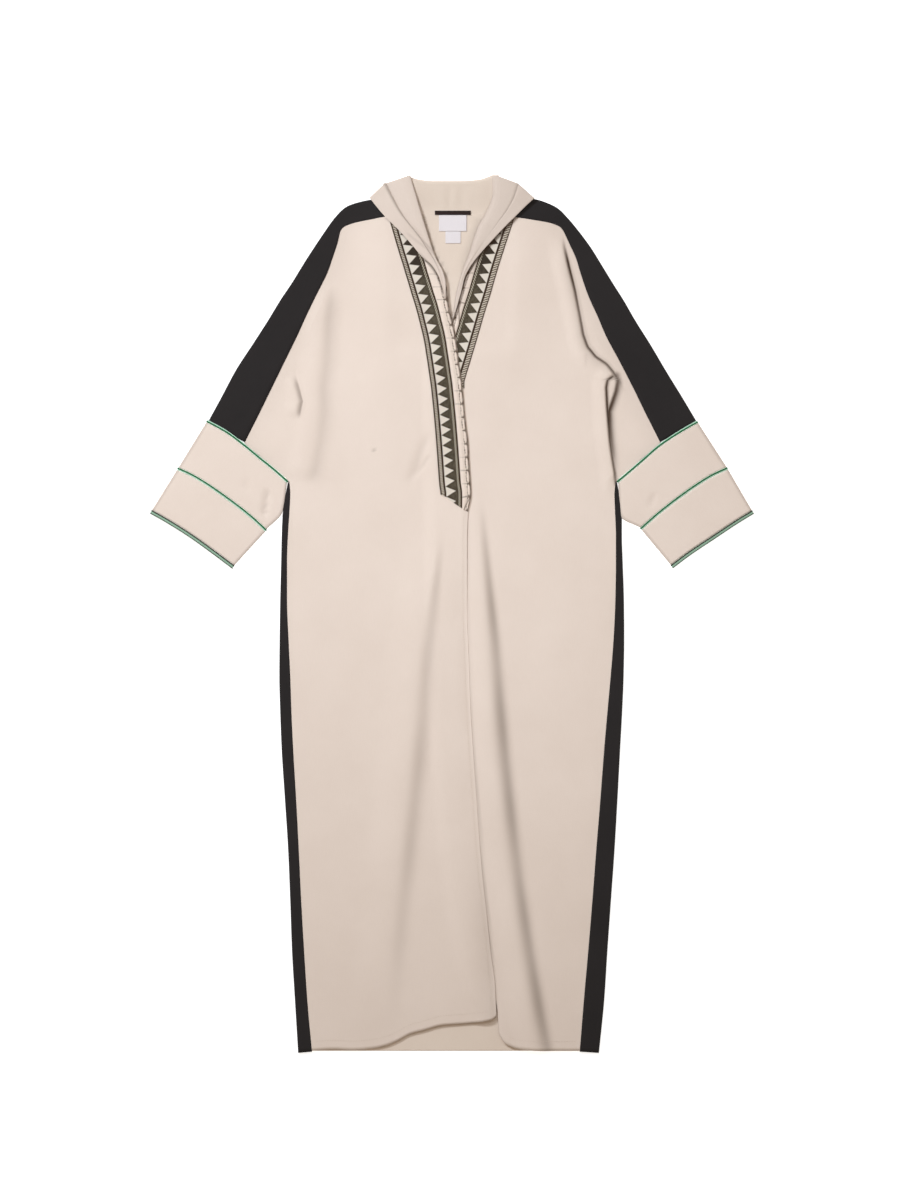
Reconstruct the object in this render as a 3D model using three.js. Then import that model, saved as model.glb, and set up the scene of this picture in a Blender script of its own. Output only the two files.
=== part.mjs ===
// Abaya, laid flat and face up. Millimetres. +Z is up, +Y runs towards the hood,
// +X is the viewer's right. The underside lies on z = 0 and the origin is the middle
// of the garment's outline. Each cloth piece is one closed wall, 0.3 mm from its
// neighbours. "Left" and "right" are the viewer's.
import * as THREE from "three";

// ---- Driving sizes ----
const CLOTH = 1.2; // wall of the crepe
const GAP = 0.3; // clearance between pieces
const TRIM = 1.0; // wall of the woven band and the stitched edge band
const LABEL = 0.8; // wall of the labels
const FOLD_HEIGHT = 4.2; // both layers together at a folded edge
const FRONT_BASE = FOLD_HEIGHT - CLOTH; // underside of the front layer at a seam
const LOFT = 2.2; // rise of the front layer away from its side seams
const LOFT_REACH = 60; // distance over which that rise builds up
const OVERLAP_RISE = 4.2; // extra height where one front lies on the other
const RISE_START = 45; // the overlap starts to rise this far before the lower front's edge
const RISE_END = 18; // and has risen fully this far before it
const PIPING = 4.6; // width of a cuff's piping
const PIPING_PROUD = 0.8; // piping stands this far above the cuff
const CUFF_LOFT = 2.6;
const FALL_HEIGHT = 6; // folded hood under the back of the neck
const FALL_HALF_WIDTH = 84;
const FALL_END = 470; // lowest level that the folded hood reaches
const HOOD_LIFT = 6.8; // the back rises this much to clear the folded hood
const LIFT_BLEND = 30;
const NECK_SEAM = 683.5; // level of the seam between the back and the hood
const BAND_SHARE = 0.67; // woven band's share of the trimmed width
const BAND_END = 205; // level where the trimmed width starts its slanted end
const BAND_TIP = 175; // level where it reaches the front edge
const LOWER_BAND_END = 385; // the lower front's band ends here, under the other front
const TIP_CLEARANCE = 0.15; // the slanted end crosses the panel's faces, so it lies a little higher
const LEAST_END = 3; // the slanted end's shorter side
const CREASE_HALF = 10; // half width of the columns that follow a long crease

const CREAM = { color: 0xe6d8cb, roughness: 0.9, metalness: 0 };
const BLACK = { color: 0x2e2d2c, roughness: 0.85, metalness: 0 };
const WOVEN = { color: 0x6b6048, roughness: 0.85, metalness: 0 };
const GREEN = { color: 0x2f7d55, roughness: 0.7, metalness: 0 };
const WHITE = { color: 0xf2f1ee, roughness: 0.8, metalness: 0 };

// Shoulder strips: at each level, the strip's lower seam on both sides and the
// point of the top fold across from it.
const SHOULDERS = [
  { y: 677, seamL: -115, foldLX: -125, foldLY: 708, seamR: 107, foldRX: 117, foldRY: 710 },
  { y: 673, seamL: -140, foldLX: -146, foldLY: 705, seamR: 134, foldRX: 141, foldRY: 707 },
  { y: 667, seamL: -169, foldLX: -179, foldLY: 695, seamR: 168, foldRX: 177, foldRY: 693 },
  { y: 660, seamL: -186, foldLX: -198, foldLY: 678, seamR: 184, foldRX: 195, foldRY: 676 },
  { y: 654, seamL: -191, foldLX: -206, foldLY: 668, seamR: 189, foldRX: 203, foldRY: 667 },
  { y: 631, seamL: -197, foldLX: -222, foldLY: 645, seamR: 200, foldRX: 222, foldRY: 643 },
  { y: 607, seamL: -205, foldLX: -236, foldLY: 624, seamR: 211, foldRX: 237, foldRY: 622 },
  { y: 584, seamL: -213, foldLX: -249, foldLY: 604, seamR: 218, foldRX: 250, foldRY: 601 },
  { y: 543, seamL: -233, foldLX: -273, foldLY: 565, seamR: 232, foldRX: 272, foldRY: 565 },
  { y: 510, seamL: -249, foldLX: -293, foldLY: 535, seamR: 247, foldRX: 291, foldRY: 535 },
  { y: 475, seamL: -265, foldLX: -313, foldLY: 502, seamR: 262, foldRX: 310, foldRY: 502 },
  { y: 430, seamL: -287, foldLX: -340, foldLY: 460, seamR: 286, foldRX: 337, foldRY: 459 },
  { y: 385, seamL: -309, foldLX: -368, foldLY: 417, seamR: 309, foldRX: 363, foldRY: 415 },
  { y: 340, seamL: -331, foldLX: -392, foldLY: 372, seamR: 331, foldRX: 390, foldRY: 371 },
  { y: 294, seamL: -354, foldLX: -416, foldLY: 328, seamR: 354, foldRX: 415, foldRY: 329 },
];

// Where the sleeve meets the cuff below the strip.
const SLEEVE_ENDS = [
  { y: 278.5, seamL: -336, seamR: 336.5 },
  { y: 263, seamL: -318, seamR: 319 },
  { y: 245, seamL: -298.5, seamR: 299 },
  { y: 227, seamL: -279, seamR: 279 },
];

// Side panels: the seam with the front and the fold at the garment's side.
const SIDES = [
  { y: 205, foldL: -282.5, seamL: -277, seamR: 276.5, foldR: 282 },
  { y: 175, foldL: -287, seamL: -278.5, seamR: 277.5, foldR: 286 },
  { y: 134, foldL: -290.5, seamL: -281, seamR: 279, foldR: 288 },
  { y: 87, foldL: -291.5, seamL: -282.5, seamR: 279, foldR: 289.5 },
  { y: 25, foldL: -293, seamL: -282.5, seamR: 278, foldR: 291.5 },
  { y: -40, foldL: -294, seamL: -280, seamR: 275, foldR: 292 },
  { y: -104, foldL: -294.5, seamL: -277, seamR: 270, foldR: 291 },
  { y: -165, foldL: -293, seamL: -275, seamR: 264.5, foldR: 288.5 },
  { y: -229, foldL: -290.5, seamL: -272, seamR: 259, foldR: 285 },
  { y: -314, foldL: -285, seamL: -267, seamR: 252.5, foldR: 280.5 },
  { y: -400, foldL: -279.5, seamL: -262.5, seamR: 245.5, foldR: 275.5 },
  { y: -485, foldL: -276, seamL: -258.5, seamR: 239, foldR: 269.5 },
  { y: -570, foldL: -273, seamL: -253.5, seamR: 232, foldR: 263.5 },
  { y: -630, foldL: -270, seamL: -250, seamR: 227, foldR: 260 },
  { y: -685, foldL: -266, seamL: -245.5, seamR: 222.5, foldR: 255 },
  { y: -741, foldL: -262.5, seamL: -240, seamR: 217.5, foldR: 249 },
];

// Overlap front: neckline and front edge, the band's outer edge, then the long
// soft crease that goes on below the band.
const OVERLAP_EDGE = [
  [677, -89], [646, -69], [607, -40], [583, -19], [557, -10], [520, -5], [492, 2], [461, 7.5],
  [426, 11.5], [398, 16], [365, 19], [323, 23], [292, 27], [261, 28.5], [231, 30.5], [205, 32],
  [175, 26.5], [127, 24.5], [25, 24.5], [-85, 28], [-145, 30], [-229, 35], [-314, 41],
  [-433, 50], [-510, 58.5], [-595, 67], [-655, 72], [-741, 74.5],
];
const OVERLAP_BAND = [
  [677, -108], [627, -92], [578, -76], [535, -61], [496, -51], [457, -43], [418, -37.5],
  [365, -33.5], [344, -29.5], [307, -26.5], [261, -23.5], [205, -20], [144, -21], [25, -28],
  [-42, -40], [-145, -48], [-246, -57], [-348, -67], [-450, -77], [-552, -89], [-741, -100],
];
const ARMHOLE_SHADE = [
  [677, -150], [637, -183], [552, -206], [435, -210], [382, -218], [318, -234], [263, -242],
  [100, -215], [-741, -180],
];

// Lower front: the same lines, with its edge hidden under the overlap below the crossing.
const LOWER_EDGE = [
  [677, 89], [646, 69], [607, 40], [587, 28], [571, 20], [554, 15], [542, 11.5], [520, 6.5],
  [503, 1.5], [476, -4], [447, -9], [394, -11], [314, -11], [195, -9], [25, -6], [-145, -1],
  [-314, 9], [-519, 33], [-638, 57], [-691, 75], [-741, 79],
];
const LOWER_BAND = [
  [677, 106], [607, 83.5], [550, 68], [496, 52.5], [447, 36.5], [414, 25], [394, 20],
  [300, 34], [207, 50], [187, 53.5], [144, 60], [76, 64], [-8, 70], [-85, 74], [-145, 79],
  [-229, 89], [-314, 99.5], [-400, 108], [-485, 116.5], [-570, 128], [-655, 138.5], [-741, 151],
];
const ARMHOLE_FOLD = [
  [677, 150], [655, 187], [604, 196], [540, 210], [481, 221], [449, 233], [432, 250],
  [408, 262], [361, 262], [300, 264], [248, 262], [200, 255], [-741, 190],
];

// Hems: level at each x. The overlap's hem rises towards its front corner.
const OVERLAP_HEM = [
  [-240, -741], [-172, -740], [-138, -737.5], [-113, -732], [-94, -724], [-72, -712],
  [-50, -706], [-17, -697], [24, -694], [68, -687], [74.5, -681],
];
const LOWER_HEM = [[76, -698], [80, -713], [92, -730], [119, -739], [218, -741]];
const HEM_TURN = -570; // hem shaping starts below this level

// Creases of the front layer. depth is down, or up where negative.
const CREASES = [
  { name: "lower front", line: LOWER_BAND, from: 200, to: -741, depth: 2.6, width: 9 },
  { name: "overlap", line: OVERLAP_BAND, from: 170, to: -600, depth: 2.2, width: 9 },
  { name: "left armhole", line: ARMHOLE_SHADE, from: 640, to: 60, depth: 2, width: 13 },
  { name: "right armhole", line: ARMHOLE_FOLD, from: 650, to: 180, depth: -3, width: 14 },
];
const CREASE_FADE = 60;

// Cuffs, from the top fold to the underarm fold, at the five quarter points of each seam.
const CUFFS = {
  left: {
    side: -1,
    top: [[-416, 328], [-385, 311], [-354, 294], [-318, 263], [-279, 227]],
    middle: [[-466, 248], [-432, 236], [-395, 211], [-356, 182], [-316, 145]],
    hem: [[-511, 175], [-471, 156], [-432, 132], [-397, 108], [-370, 82]],
    elbow: [-289.5, 178],
  },
  right: {
    side: 1,
    top: [[415, 329], [384.5, 311.5], [354, 294], [319, 263], [279, 227]],
    middle: [[466, 250], [429, 234], [393, 209], [354, 180.5], [316, 143]],
    hem: [[509, 176], [470, 157], [431, 132], [397, 108], [370, 82]],
    elbow: [289, 178],
  },
};
const SLEEVE_AXIS = { x: 0.515, y: -0.857 };
const ELBOW_SHARE = 0.6;

// Hood edges turned back over the shoulders: outer edge, soft crease, inner roll.
const HOOD_LEFT = [
  { outer: [-140, 709], crease: [-115, 732], inner: [-75, 745], drop: 8 },
  { outer: [-127, 691], crease: [-103, 709], inner: [-66, 715], drop: 10 },
  { outer: [-114, 676], crease: [-90, 686], inner: [-56, 682], drop: 10 },
  { outer: [-88, 650], crease: [-73, 662], inner: [-45, 647], drop: 9 },
  { outer: [-66, 625], crease: [-55, 637], inner: [-36, 621], drop: 7 },
  { outer: [-49, 607], crease: [-41, 615], inner: [-28, 602], drop: 5 },
  { outer: [-35, 591], crease: [-29, 595], inner: [-20, 585], drop: 3 },
  { outer: [-22, 570], crease: [-18, 571], inner: [-12, 564], drop: 2 },
  { outer: [-11, 541], crease: [-9, 542], inner: [-5, 540], drop: 1 },
];
const HOOD_RIGHT = [
  { outer: [139, 708], crease: [111, 732], inner: [64, 745], drop: 6 },
  { outer: [124, 694], crease: [100, 709], inner: [57, 716], drop: 8 },
  { outer: [109, 679], crease: [87, 686], inner: [49, 684], drop: 9 },
  { outer: [89, 659], crease: [71, 662], inner: [43, 653], drop: 8 },
  { outer: [70, 639], crease: [56, 641], inner: [36, 628], drop: 6 },
  { outer: [51, 618], crease: [42, 620], inner: [28, 605], drop: 5 },
  { outer: [35, 598], crease: [29, 597], inner: [19, 585], drop: 3 },
  { outer: [21, 579], crease: [18, 577], inner: [12, 568], drop: 2 },
  { outer: [12, 557], crease: [10, 556], inner: [6, 552], drop: 1 },
];
const HOOD_STACK = 3.2; // hood over the trimmed front, at its outer edge
const HOOD_ROLL = 7; // and at its inner roll
const ROLL_STEP = 3.5; // the roll turns down within this distance

// Top edge of the hood's inside, from roll to roll.
const HOOD_TOP = [[-72, 744], [-60, 740], [-32, 737], [12, 737], [44, 739], [61, 744]];
const STAND_RISE = 5; // the hood's inside rises this much towards its top fold
const STAND_END = 2.4; // and comes down this near the floor behind it
const TAPE = { left: -30, right: 31, low: 679.8, high: 686.8 };
const NECK_LABEL = { left: -23, right: 24, low: 652, high: 679.4 };
const SIZE_TAB = { left: -12, right: 14, low: 631.5, high: 651.6 };

// ---- Small helpers ----
const mix = (a, b, t) => a + (b - a) * t;
const mixPoint = (p, q, t) => p.map((value, i) => mix(value, q[i], t));
const ease = (t) => {
  const c = Math.min(1, Math.max(0, t));
  return c * c * (3 - 2 * c);
};

// Value at `at` of a line given as [position, value] pairs, positions in one order.
function along(line, at) {
  const rising = line[line.length - 1][0] > line[0][0];
  const rows = rising ? line : [...line].reverse();
  if (at <= rows[0][0]) return rows[0][1];
  for (let i = 1; i < rows.length; i += 1) {
    if (at <= rows[i][0]) {
      const share = (at - rows[i - 1][0]) / (rows[i][0] - rows[i - 1][0]);
      return mix(rows[i - 1][1], rows[i][1], share);
    }
  }
  return rows[rows.length - 1][1];
}

// ---- Seam lines and height of the layers ----
const LEVELS = [...SHOULDERS, ...SLEEVE_ENDS, ...SIDES];
const SEAM_LEFT = LEVELS.map((row) => [row.y, row.seamL]);
const SEAM_RIGHT = LEVELS.map((row) => [row.y, row.seamR]);

// Rise that the folded hood gives to everything that lies on it.
function hoodLift(x, y) {
  const across = ease(1 - (Math.abs(x) - FALL_HALF_WIDTH - 2) / LIFT_BLEND);
  const down = ease(1 - (FALL_END - 4 - y) / LIFT_BLEND);
  return HOOD_LIFT * across * down;
}

function creaseHeight(x, y) {
  let height = 0;
  for (const crease of CREASES) {
    const away = (x - along(crease.line, y)) / crease.width;
    const fade = ease((crease.from - y) / CREASE_FADE) * ease((y - crease.to) / CREASE_FADE + 1);
    height -= crease.depth * fade * Math.exp(-away * away);
  }
  return height;
}

// Underside of the front layer.
function frontUnder(x, y) {
  const fromLeft = Math.max(0, x - along(SEAM_LEFT, y));
  const fromRight = Math.max(0, along(SEAM_RIGHT, y) - x);
  const rise = (1 - Math.exp(-fromLeft / LOFT_REACH)) * (1 - Math.exp(-fromRight / LOFT_REACH));
  const lift = hoodLift(x, y);
  const calm = 1 - (0.7 * lift) / HOOD_LIFT;
  return FRONT_BASE + lift + (LOFT * rise + creaseHeight(x, y) * Math.min(1, rise * 3)) * calm;
}

// The overlap rises to clear the lower front.
function overlapUnder(x, y) {
  const before = along(LOWER_EDGE, Math.min(y, 540)) - x;
  return frontUnder(x, y) + OVERLAP_RISE * ease((RISE_START - before) / (RISE_START - RISE_END));
}

// ---- Solids ----
// A closed wall between two grids of the same size. A ring's columns join up.
function wall(outer, inner, ring = false) {
  const rows = outer.length;
  const cols = outer[0].length;
  const points = [...outer.flat(), ...inner.flat()];
  const index = [];
  const at = (side, r, c) => side * rows * cols + r * cols + (c % cols);
  const quad = (a, b, c, d) => index.push(a, b, c, a, c, d);
  const spans = ring ? cols : cols - 1;
  for (let r = 0; r < rows - 1; r += 1) {
    for (let c = 0; c < spans; c += 1) {
      quad(at(0, r, c), at(0, r, c + 1), at(0, r + 1, c + 1), at(0, r + 1, c));
      quad(at(1, r, c), at(1, r + 1, c), at(1, r + 1, c + 1), at(1, r, c + 1));
    }
  }
  for (let c = 0; c < spans; c += 1) {
    quad(at(0, 0, c), at(1, 0, c), at(1, 0, c + 1), at(0, 0, c + 1));
    const last = rows - 1;
    quad(at(0, last, c), at(0, last, c + 1), at(1, last, c + 1), at(1, last, c));
  }
  for (let r = 0; r < rows - 1 && !ring; r += 1) {
    quad(at(0, r, 0), at(0, r + 1, 0), at(1, r + 1, 0), at(1, r, 0));
    const last = cols - 1;
    quad(at(0, r, last), at(1, r, last), at(1, r + 1, last), at(0, r + 1, last));
  }
  return closedGeometry(points, index);
}

// Turns the faces outward and makes the geometry.
function closedGeometry(points, index) {
  let volume = 0;
  for (let i = 0; i < index.length; i += 3) {
    const [a, b, c] = [0, 1, 2].map((k) => new THREE.Vector3(...points[index[i + k]]));
    volume += a.dot(b.cross(c));
  }
  if (volume < 0) index.reverse();
  const geometry = new THREE.BufferGeometry();
  geometry.setAttribute("position", new THREE.Float32BufferAttribute(points.flat(), 3));
  geometry.setIndex(index);
  geometry.computeVertexNormals();
  return geometry;
}

const raised = (grid, height) => grid.map((row) => row.map(([x, y, z]) => [x, y, z + height]));

// The grid moved along its own normals, for cloth that rolls over.
function offsetGrid(grid, distance) {
  const vector = (p) => new THREE.Vector3(...p);
  return grid.map((row, r) => row.map((point, c) => {
    const down = vector(grid[Math.min(r + 1, grid.length - 1)][c]);
    down.sub(vector(grid[Math.max(r - 1, 0)][c]));
    const across = vector(row[Math.min(c + 1, row.length - 1)]);
    across.sub(vector(row[Math.max(c - 1, 0)]));
    const normal = across.cross(down).normalize();
    return [point[0] + normal.x * distance, point[1] + normal.y * distance,
      point[2] + normal.z * distance];
  }));
}

// ---- Flat panels ----
// Columns between guide lines, kept in order. Each guide gives x and the number of
// spans up to the next one.
function stations(guides, y) {
  const xs = guides.map((guide) => guide.x(y));
  const step = Math.min(0.5, (xs[xs.length - 1] - xs[0]) / (2 * xs.length));
  for (let i = 1; i < xs.length - 1; i += 1) {
    const low = xs[i - 1] + step;
    const high = xs[xs.length - 1] - step * (xs.length - 1 - i);
    xs[i] = Math.min(Math.max(xs[i], low), high);
  }
  const result = [];
  for (let i = 0; i < xs.length - 1; i += 1) {
    for (let k = 0; k < guides[i].spans; k += 1) {
      result.push(mix(xs[i], xs[i + 1], k / guides[i].spans));
    }
  }
  result.push(xs[xs.length - 1]);
  return result;
}

// Grid of a panel's underside, a row at each level, with its hem shaped.
function panelGrid(guides, under, hem) {
  return LEVELS.map(({ y }) => stations(guides, y).map((x) => {
    const share = Math.max(0, (HEM_TURN - y) / (HEM_TURN - LEVELS[LEVELS.length - 1].y));
    const level = hem && share > 0 ? mix(HEM_TURN, along(hem, x), share) : y;
    return [x, level, under(x, level)];
  }));
}

const overlapLoopEdge = (y) => mix(along(OVERLAP_BAND, y), along(OVERLAP_EDGE, y), BAND_SHARE);
const lowerLoopEdge = (y) => mix(along(LOWER_BAND, y), along(LOWER_EDGE, y), BAND_SHARE);

const OVERLAP_GUIDES = [
  { x: (y) => along(SEAM_LEFT, y), spans: 4 },
  { x: (y) => along(ARMHOLE_SHADE, y), spans: 4 },
  { x: (y) => along(OVERLAP_BAND, y) - CREASE_HALF, spans: 1 },
  { x: (y) => along(OVERLAP_BAND, y), spans: 1 },
  { x: (y) => along(OVERLAP_BAND, y) + CREASE_HALF, spans: 2 },
  { x: overlapLoopEdge, spans: 2 },
  { x: (y) => along(OVERLAP_EDGE, y), spans: 0 },
];
const LOWER_GUIDES = [
  { x: (y) => along(LOWER_EDGE, y), spans: 2 },
  { x: lowerLoopEdge, spans: 2 },
  { x: (y) => along(LOWER_BAND, y) - CREASE_HALF, spans: 1 },
  { x: (y) => along(LOWER_BAND, y), spans: 1 },
  { x: (y) => along(LOWER_BAND, y) + CREASE_HALF, spans: 5 },
  { x: (y) => along(ARMHOLE_FOLD, y), spans: 3 },
  { x: (y) => along(SEAM_RIGHT, y), spans: 0 },
];
const BACK_GUIDES = [
  { x: (y) => along(SEAM_LEFT, y), spans: 2 },
  { x: () => -FALL_HALF_WIDTH - LIFT_BLEND, spans: 1 },
  { x: () => -FALL_HALF_WIDTH - LIFT_BLEND / 2, spans: 1 },
  { x: () => -FALL_HALF_WIDTH, spans: 3 },
  { x: () => FALL_HALF_WIDTH, spans: 1 },
  { x: () => FALL_HALF_WIDTH + LIFT_BLEND / 2, spans: 1 },
  { x: () => FALL_HALF_WIDTH + LIFT_BLEND, spans: 2 },
  { x: (y) => along(SEAM_RIGHT, y), spans: 0 },
];

const overlapGrid = panelGrid(OVERLAP_GUIDES, overlapUnder, OVERLAP_HEM);
const lowerGrid = panelGrid(LOWER_GUIDES, frontUnder, LOWER_HEM);

function back() {
  const grid = panelGrid(BACK_GUIDES, hoodLift, null);
  const top = grid[0].map(([x, , z]) => [x * 0.98, NECK_SEAM - GAP, z]);
  const all = [top, ...grid];
  return wall(raised(all, CLOTH), all);
}

const frontOverlap = () => wall(raised(overlapGrid, CLOTH), overlapGrid);
const frontUnderlap = () => wall(raised(lowerGrid, CLOTH), lowerGrid);

// ---- Bands on the fronts, made from the panels' own points ----
const rowsBetween = (grid, high, low) => grid.filter((row) => row[0][1] <= high && row[0][1] >= low);

// Columns first..last of the panel's top, with a gap on the side of the neighbour.
function bandStrip(grid, first, last, shift) {
  const top = raised(grid, CLOTH + GAP);
  const rows = top.map((row) => row.slice(first, last + 1).map((point) => [...point]));
  for (const row of rows) {
    const edge = shift < 0 ? row[row.length - 1] : row[0];
    edge[0] += shift;
  }
  return rows;
}

function overlapBand(first, last, shift) {
  const rows = bandStrip(rowsBetween(overlapGrid, 673, BAND_TIP), first, last, shift);
  const tip = rows.pop();
  const end = rows[rows.length - 1];
  const left = along(OVERLAP_BAND, BAND_END);
  const right = along(OVERLAP_EDGE, BAND_END);
  const slanted = end.map((point, i) => mixPoint(point, tip[i], (point[0] - left) / (right - left)));
  slanted.forEach((point) => { point[2] += TIP_CLEARANCE; });
  slanted[0][1] = Math.min(slanted[0][1], BAND_END - LEAST_END);
  const all = [...rows, slanted];
  return wall(raised(all, TRIM), all);
}

function lowerBand(first, last, shift) {
  const rows = bandStrip(rowsBetween(lowerGrid, 673, LOWER_BAND_END), first, last, shift);
  return wall(raised(rows, TRIM), rows);
}

const OVERLAP_BAND_COLUMN = 9; // columns up to the band's outer edge
const OVERLAP_LOOP_COLUMN = 12;
const OVERLAP_EDGE_COLUMN = 14;
const LOWER_LOOP_COLUMN = 2;
const LOWER_BAND_COLUMN = 5;

// ---- Folded strips ----
const ARC = [90, 45, 0, -45, -90].map((degrees) => (degrees * Math.PI) / 180);

// Section of cloth folded round an edge: upper leg, fold, lower leg.
function foldedSection(seam, fold, seamUnder) {
  const length = Math.hypot(fold[0] - seam[0], fold[1] - seam[1]);
  const dir = [(fold[0] - seam[0]) / length, (fold[1] - seam[1]) / length];
  const radius = FOLD_HEIGHT / 2;
  const at = (distance, z) => [seam[0] + dir[0] * distance, seam[1] + dir[1] * distance, z];
  const start = GAP * 1.2;
  const bend = length - radius;
  const middle = mix(start, bend, 0.5);
  const seamTop = seamUnder + CLOTH;
  const outer = [at(start, seamTop), at(middle, mix(seamTop, FOLD_HEIGHT, 0.5))];
  const inner = [at(start, seamUnder), at(middle, mix(seamUnder, FRONT_BASE, 0.5))];
  for (const angle of ARC) {
    const [out, up] = [Math.cos(angle), Math.sin(angle)];
    const hollow = radius - CLOTH;
    outer.push(at(bend + out * radius, radius + up * radius));
    inner.push(at(bend + out * hollow, radius + up * hollow));
  }
  outer.push(at(middle, 0), at(start, 0));
  inner.push(at(middle, CLOTH), at(start, CLOTH));
  return { outer, inner };
}

function foldedStrip(rows) {
  const sections = rows.map(({ seam, fold }) => (
    foldedSection(seam, fold, frontUnder(seam[0], seam[1]))));
  return wall(sections.map((section) => section.outer), sections.map((section) => section.inner));
}

const shoulderStrip = (side) => foldedStrip(SHOULDERS.map((row) => (side === "left"
  ? { seam: [row.seamL, row.y], fold: [row.foldLX, row.foldLY] }
  : { seam: [row.seamR, row.y], fold: [row.foldRX, row.foldRY] })));

const sidePanel = (side) => foldedStrip(SIDES.map((row) => (side === "left"
  ? { seam: [row.seamL, row.y], fold: [row.foldL, row.y] }
  : { seam: [row.seamR, row.y], fold: [row.foldR, row.y] })));

// ---- Cuffs and their piping: tubes laid flat ----
const CUFF_STEPS = 8;

// A seam's five points with one more half way along each stretch.
function crossLine(points) {
  return Array.from({ length: CUFF_STEPS + 1 }, (_, i) => {
    const low = Math.min(Math.floor(i / 2), points.length - 2);
    return mixPoint(points[low], points[low + 1], i / 2 - low);
  });
}

const shifted = (line, side, distance) => line.map(([x, y]) => (
  [x + side * SLEEVE_AXIS.x * distance, y + SLEEVE_AXIS.y * distance]));

// Section of a flat tube across one line: over the top, round, and back along the floor.
function tubeSection(line, proud) {
  const last = line.length - 1;
  const height = FOLD_HEIGHT + proud;
  const radius = height / 2;
  const hollow = radius - CLOTH - proud;
  const loft = (i) => CUFF_LOFT * Math.sin((Math.PI * i) / last);
  const unit = (from, to) => {
    const length = Math.hypot(to[0] - from[0], to[1] - from[1]);
    return [(to[0] - from[0]) / length, (to[1] - from[1]) / length];
  };
  const outer = [];
  const inner = [];
  const addFold = (end, dir, angles) => {
    for (const angle of angles) {
      const [out, up] = [Math.cos(angle), Math.sin(angle)];
      const spread = (r) => [end[0] + dir[0] * (r * out - radius), end[1] + dir[1] * (r * out - radius)];
      outer.push([...spread(radius), radius + up * radius]);
      inner.push([...spread(hollow), radius + up * hollow]);
    }
  };
  addFold(line[0], unit(line[1], line[0]), [...ARC].reverse());
  for (let i = 1; i < last; i += 1) {
    outer.push([...line[i], height + loft(i)]);
    inner.push([...line[i], height - CLOTH + loft(i)]);
  }
  addFold(line[last], unit(line[last - 1], line[last]), ARC);
  for (let i = last - 1; i > 0; i -= 1) {
    outer.push([...line[i], 0]);
    inner.push([...line[i], CLOTH]);
  }
  return { outer, inner };
}

function tube(lines, proud = 0) {
  const sections = lines.map((line) => tubeSection(line, proud));
  return wall(sections.map((section) => section.outer),
    sections.map((section) => section.inner), true);
}

const between = (first, second, share) => first.map((point, i) => mixPoint(point, second[i], share));

function cuffLines(cuff) {
  const start = PIPING + 2 * GAP;
  const top = crossLine(cuff.top);
  const middle = crossLine(cuff.middle);
  const elbowPoints = cuff.top.map((point, i) => mixPoint(point, cuff.middle[i], ELBOW_SHARE));
  elbowPoints[4] = cuff.elbow;
  return {
    top, middle, start,
    elbow: crossLine(elbowPoints),
    hem: crossLine(cuff.hem),
  };
}

function cuffUpper(cuff) {
  const { top, middle, start, elbow } = cuffLines(cuff);
  const first = shifted(top, cuff.side, start);
  return tube([first, between(first, elbow, 0.5), elbow, middle]);
}

function cuffLower(cuff) {
  const { middle, hem, start } = cuffLines(cuff);
  const first = shifted(middle, cuff.side, start);
  const last = shifted(hem, cuff.side, -start + GAP);
  return tube([first, between(first, last, 0.5), last]);
}

function piping(cuff, seam) {
  const line = shifted(cuffLines(cuff)[seam], cuff.side, seam === "hem" ? GAP - PIPING : GAP);
  return tube([line, shifted(line, cuff.side, PIPING)], PIPING_PROUD);
}

// ---- Hood ----
function hoodTurn(rows) {
  const towards = Math.sign(-rows[0].outer[0]);
  const grid = rows.map(({ outer, crease, inner, drop }) => {
    const base = (point, extra) => {
      const stack = frontUnder(point[0], point[1]) + CLOTH;
      const over = Math.max(stack, overlapCover(point[0], point[1]) + CLOTH);
      return [point[0], point[1], over + TRIM + HOOD_STACK + extra];
    };
    const bulge = Math.min(1, Math.hypot(inner[0] - outer[0], inner[1] - outer[1]) / 40);
    const rolled = [inner[0] + towards * ROLL_STEP * bulge, inner[1]];
    const last = base(inner, HOOD_ROLL * bulge);
    return [
      base(outer, 0),
      base(mixPoint(outer, crease, 0.5), 3 * bulge),
      base(crease, 3.4 * bulge),
      base(mixPoint(crease, inner, 0.5), 6.4 * bulge),
      last,
      [rolled[0], rolled[1], last[2] - drop * 0.4],
      [rolled[0], rolled[1], last[2] - drop],
    ];
  });
  return wall(grid, offsetGrid(grid, towards * CLOTH));
}

// The overlap's underside where it exists, and nothing elsewhere.
const overlapCover = (x, y) => (x <= along(OVERLAP_EDGE, y) + 4 ? overlapUnder(x, y) : 0);

// Folded rest of the hood: a rounded pad of cloth under the back of the neck.
function hoodFall() {
  const levels = [736, 728, 705, 660, 600, 540, 500, 482, FALL_END];
  const cols = 10;
  const grid = levels.map((y) => {
    const atEnd = ease((y - FALL_END + 20) / 60);
    const atTop = mix(1, 0.82, ease((y - 705) / 31));
    const half = FALL_HALF_WIDTH * atEnd * atTop;
    const edge = Math.min(1, (736 - y) / 10, (y - FALL_END) / 14);
    return Array.from({ length: cols + 1 }, (_, c) => {
      const across = (2 * c) / cols - 1;
      const crown = Math.sqrt(Math.max(0, 1 - across ** 6)) * (0.35 + 0.65 * Math.sqrt(edge));
      return [half * across, y, Math.max(1.6, FALL_HEIGHT * crown)];
    });
  });
  const floor = grid.map((row) => row.map(([x, y]) => [x, y, 0]));
  return wall(grid, floor);
}

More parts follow.
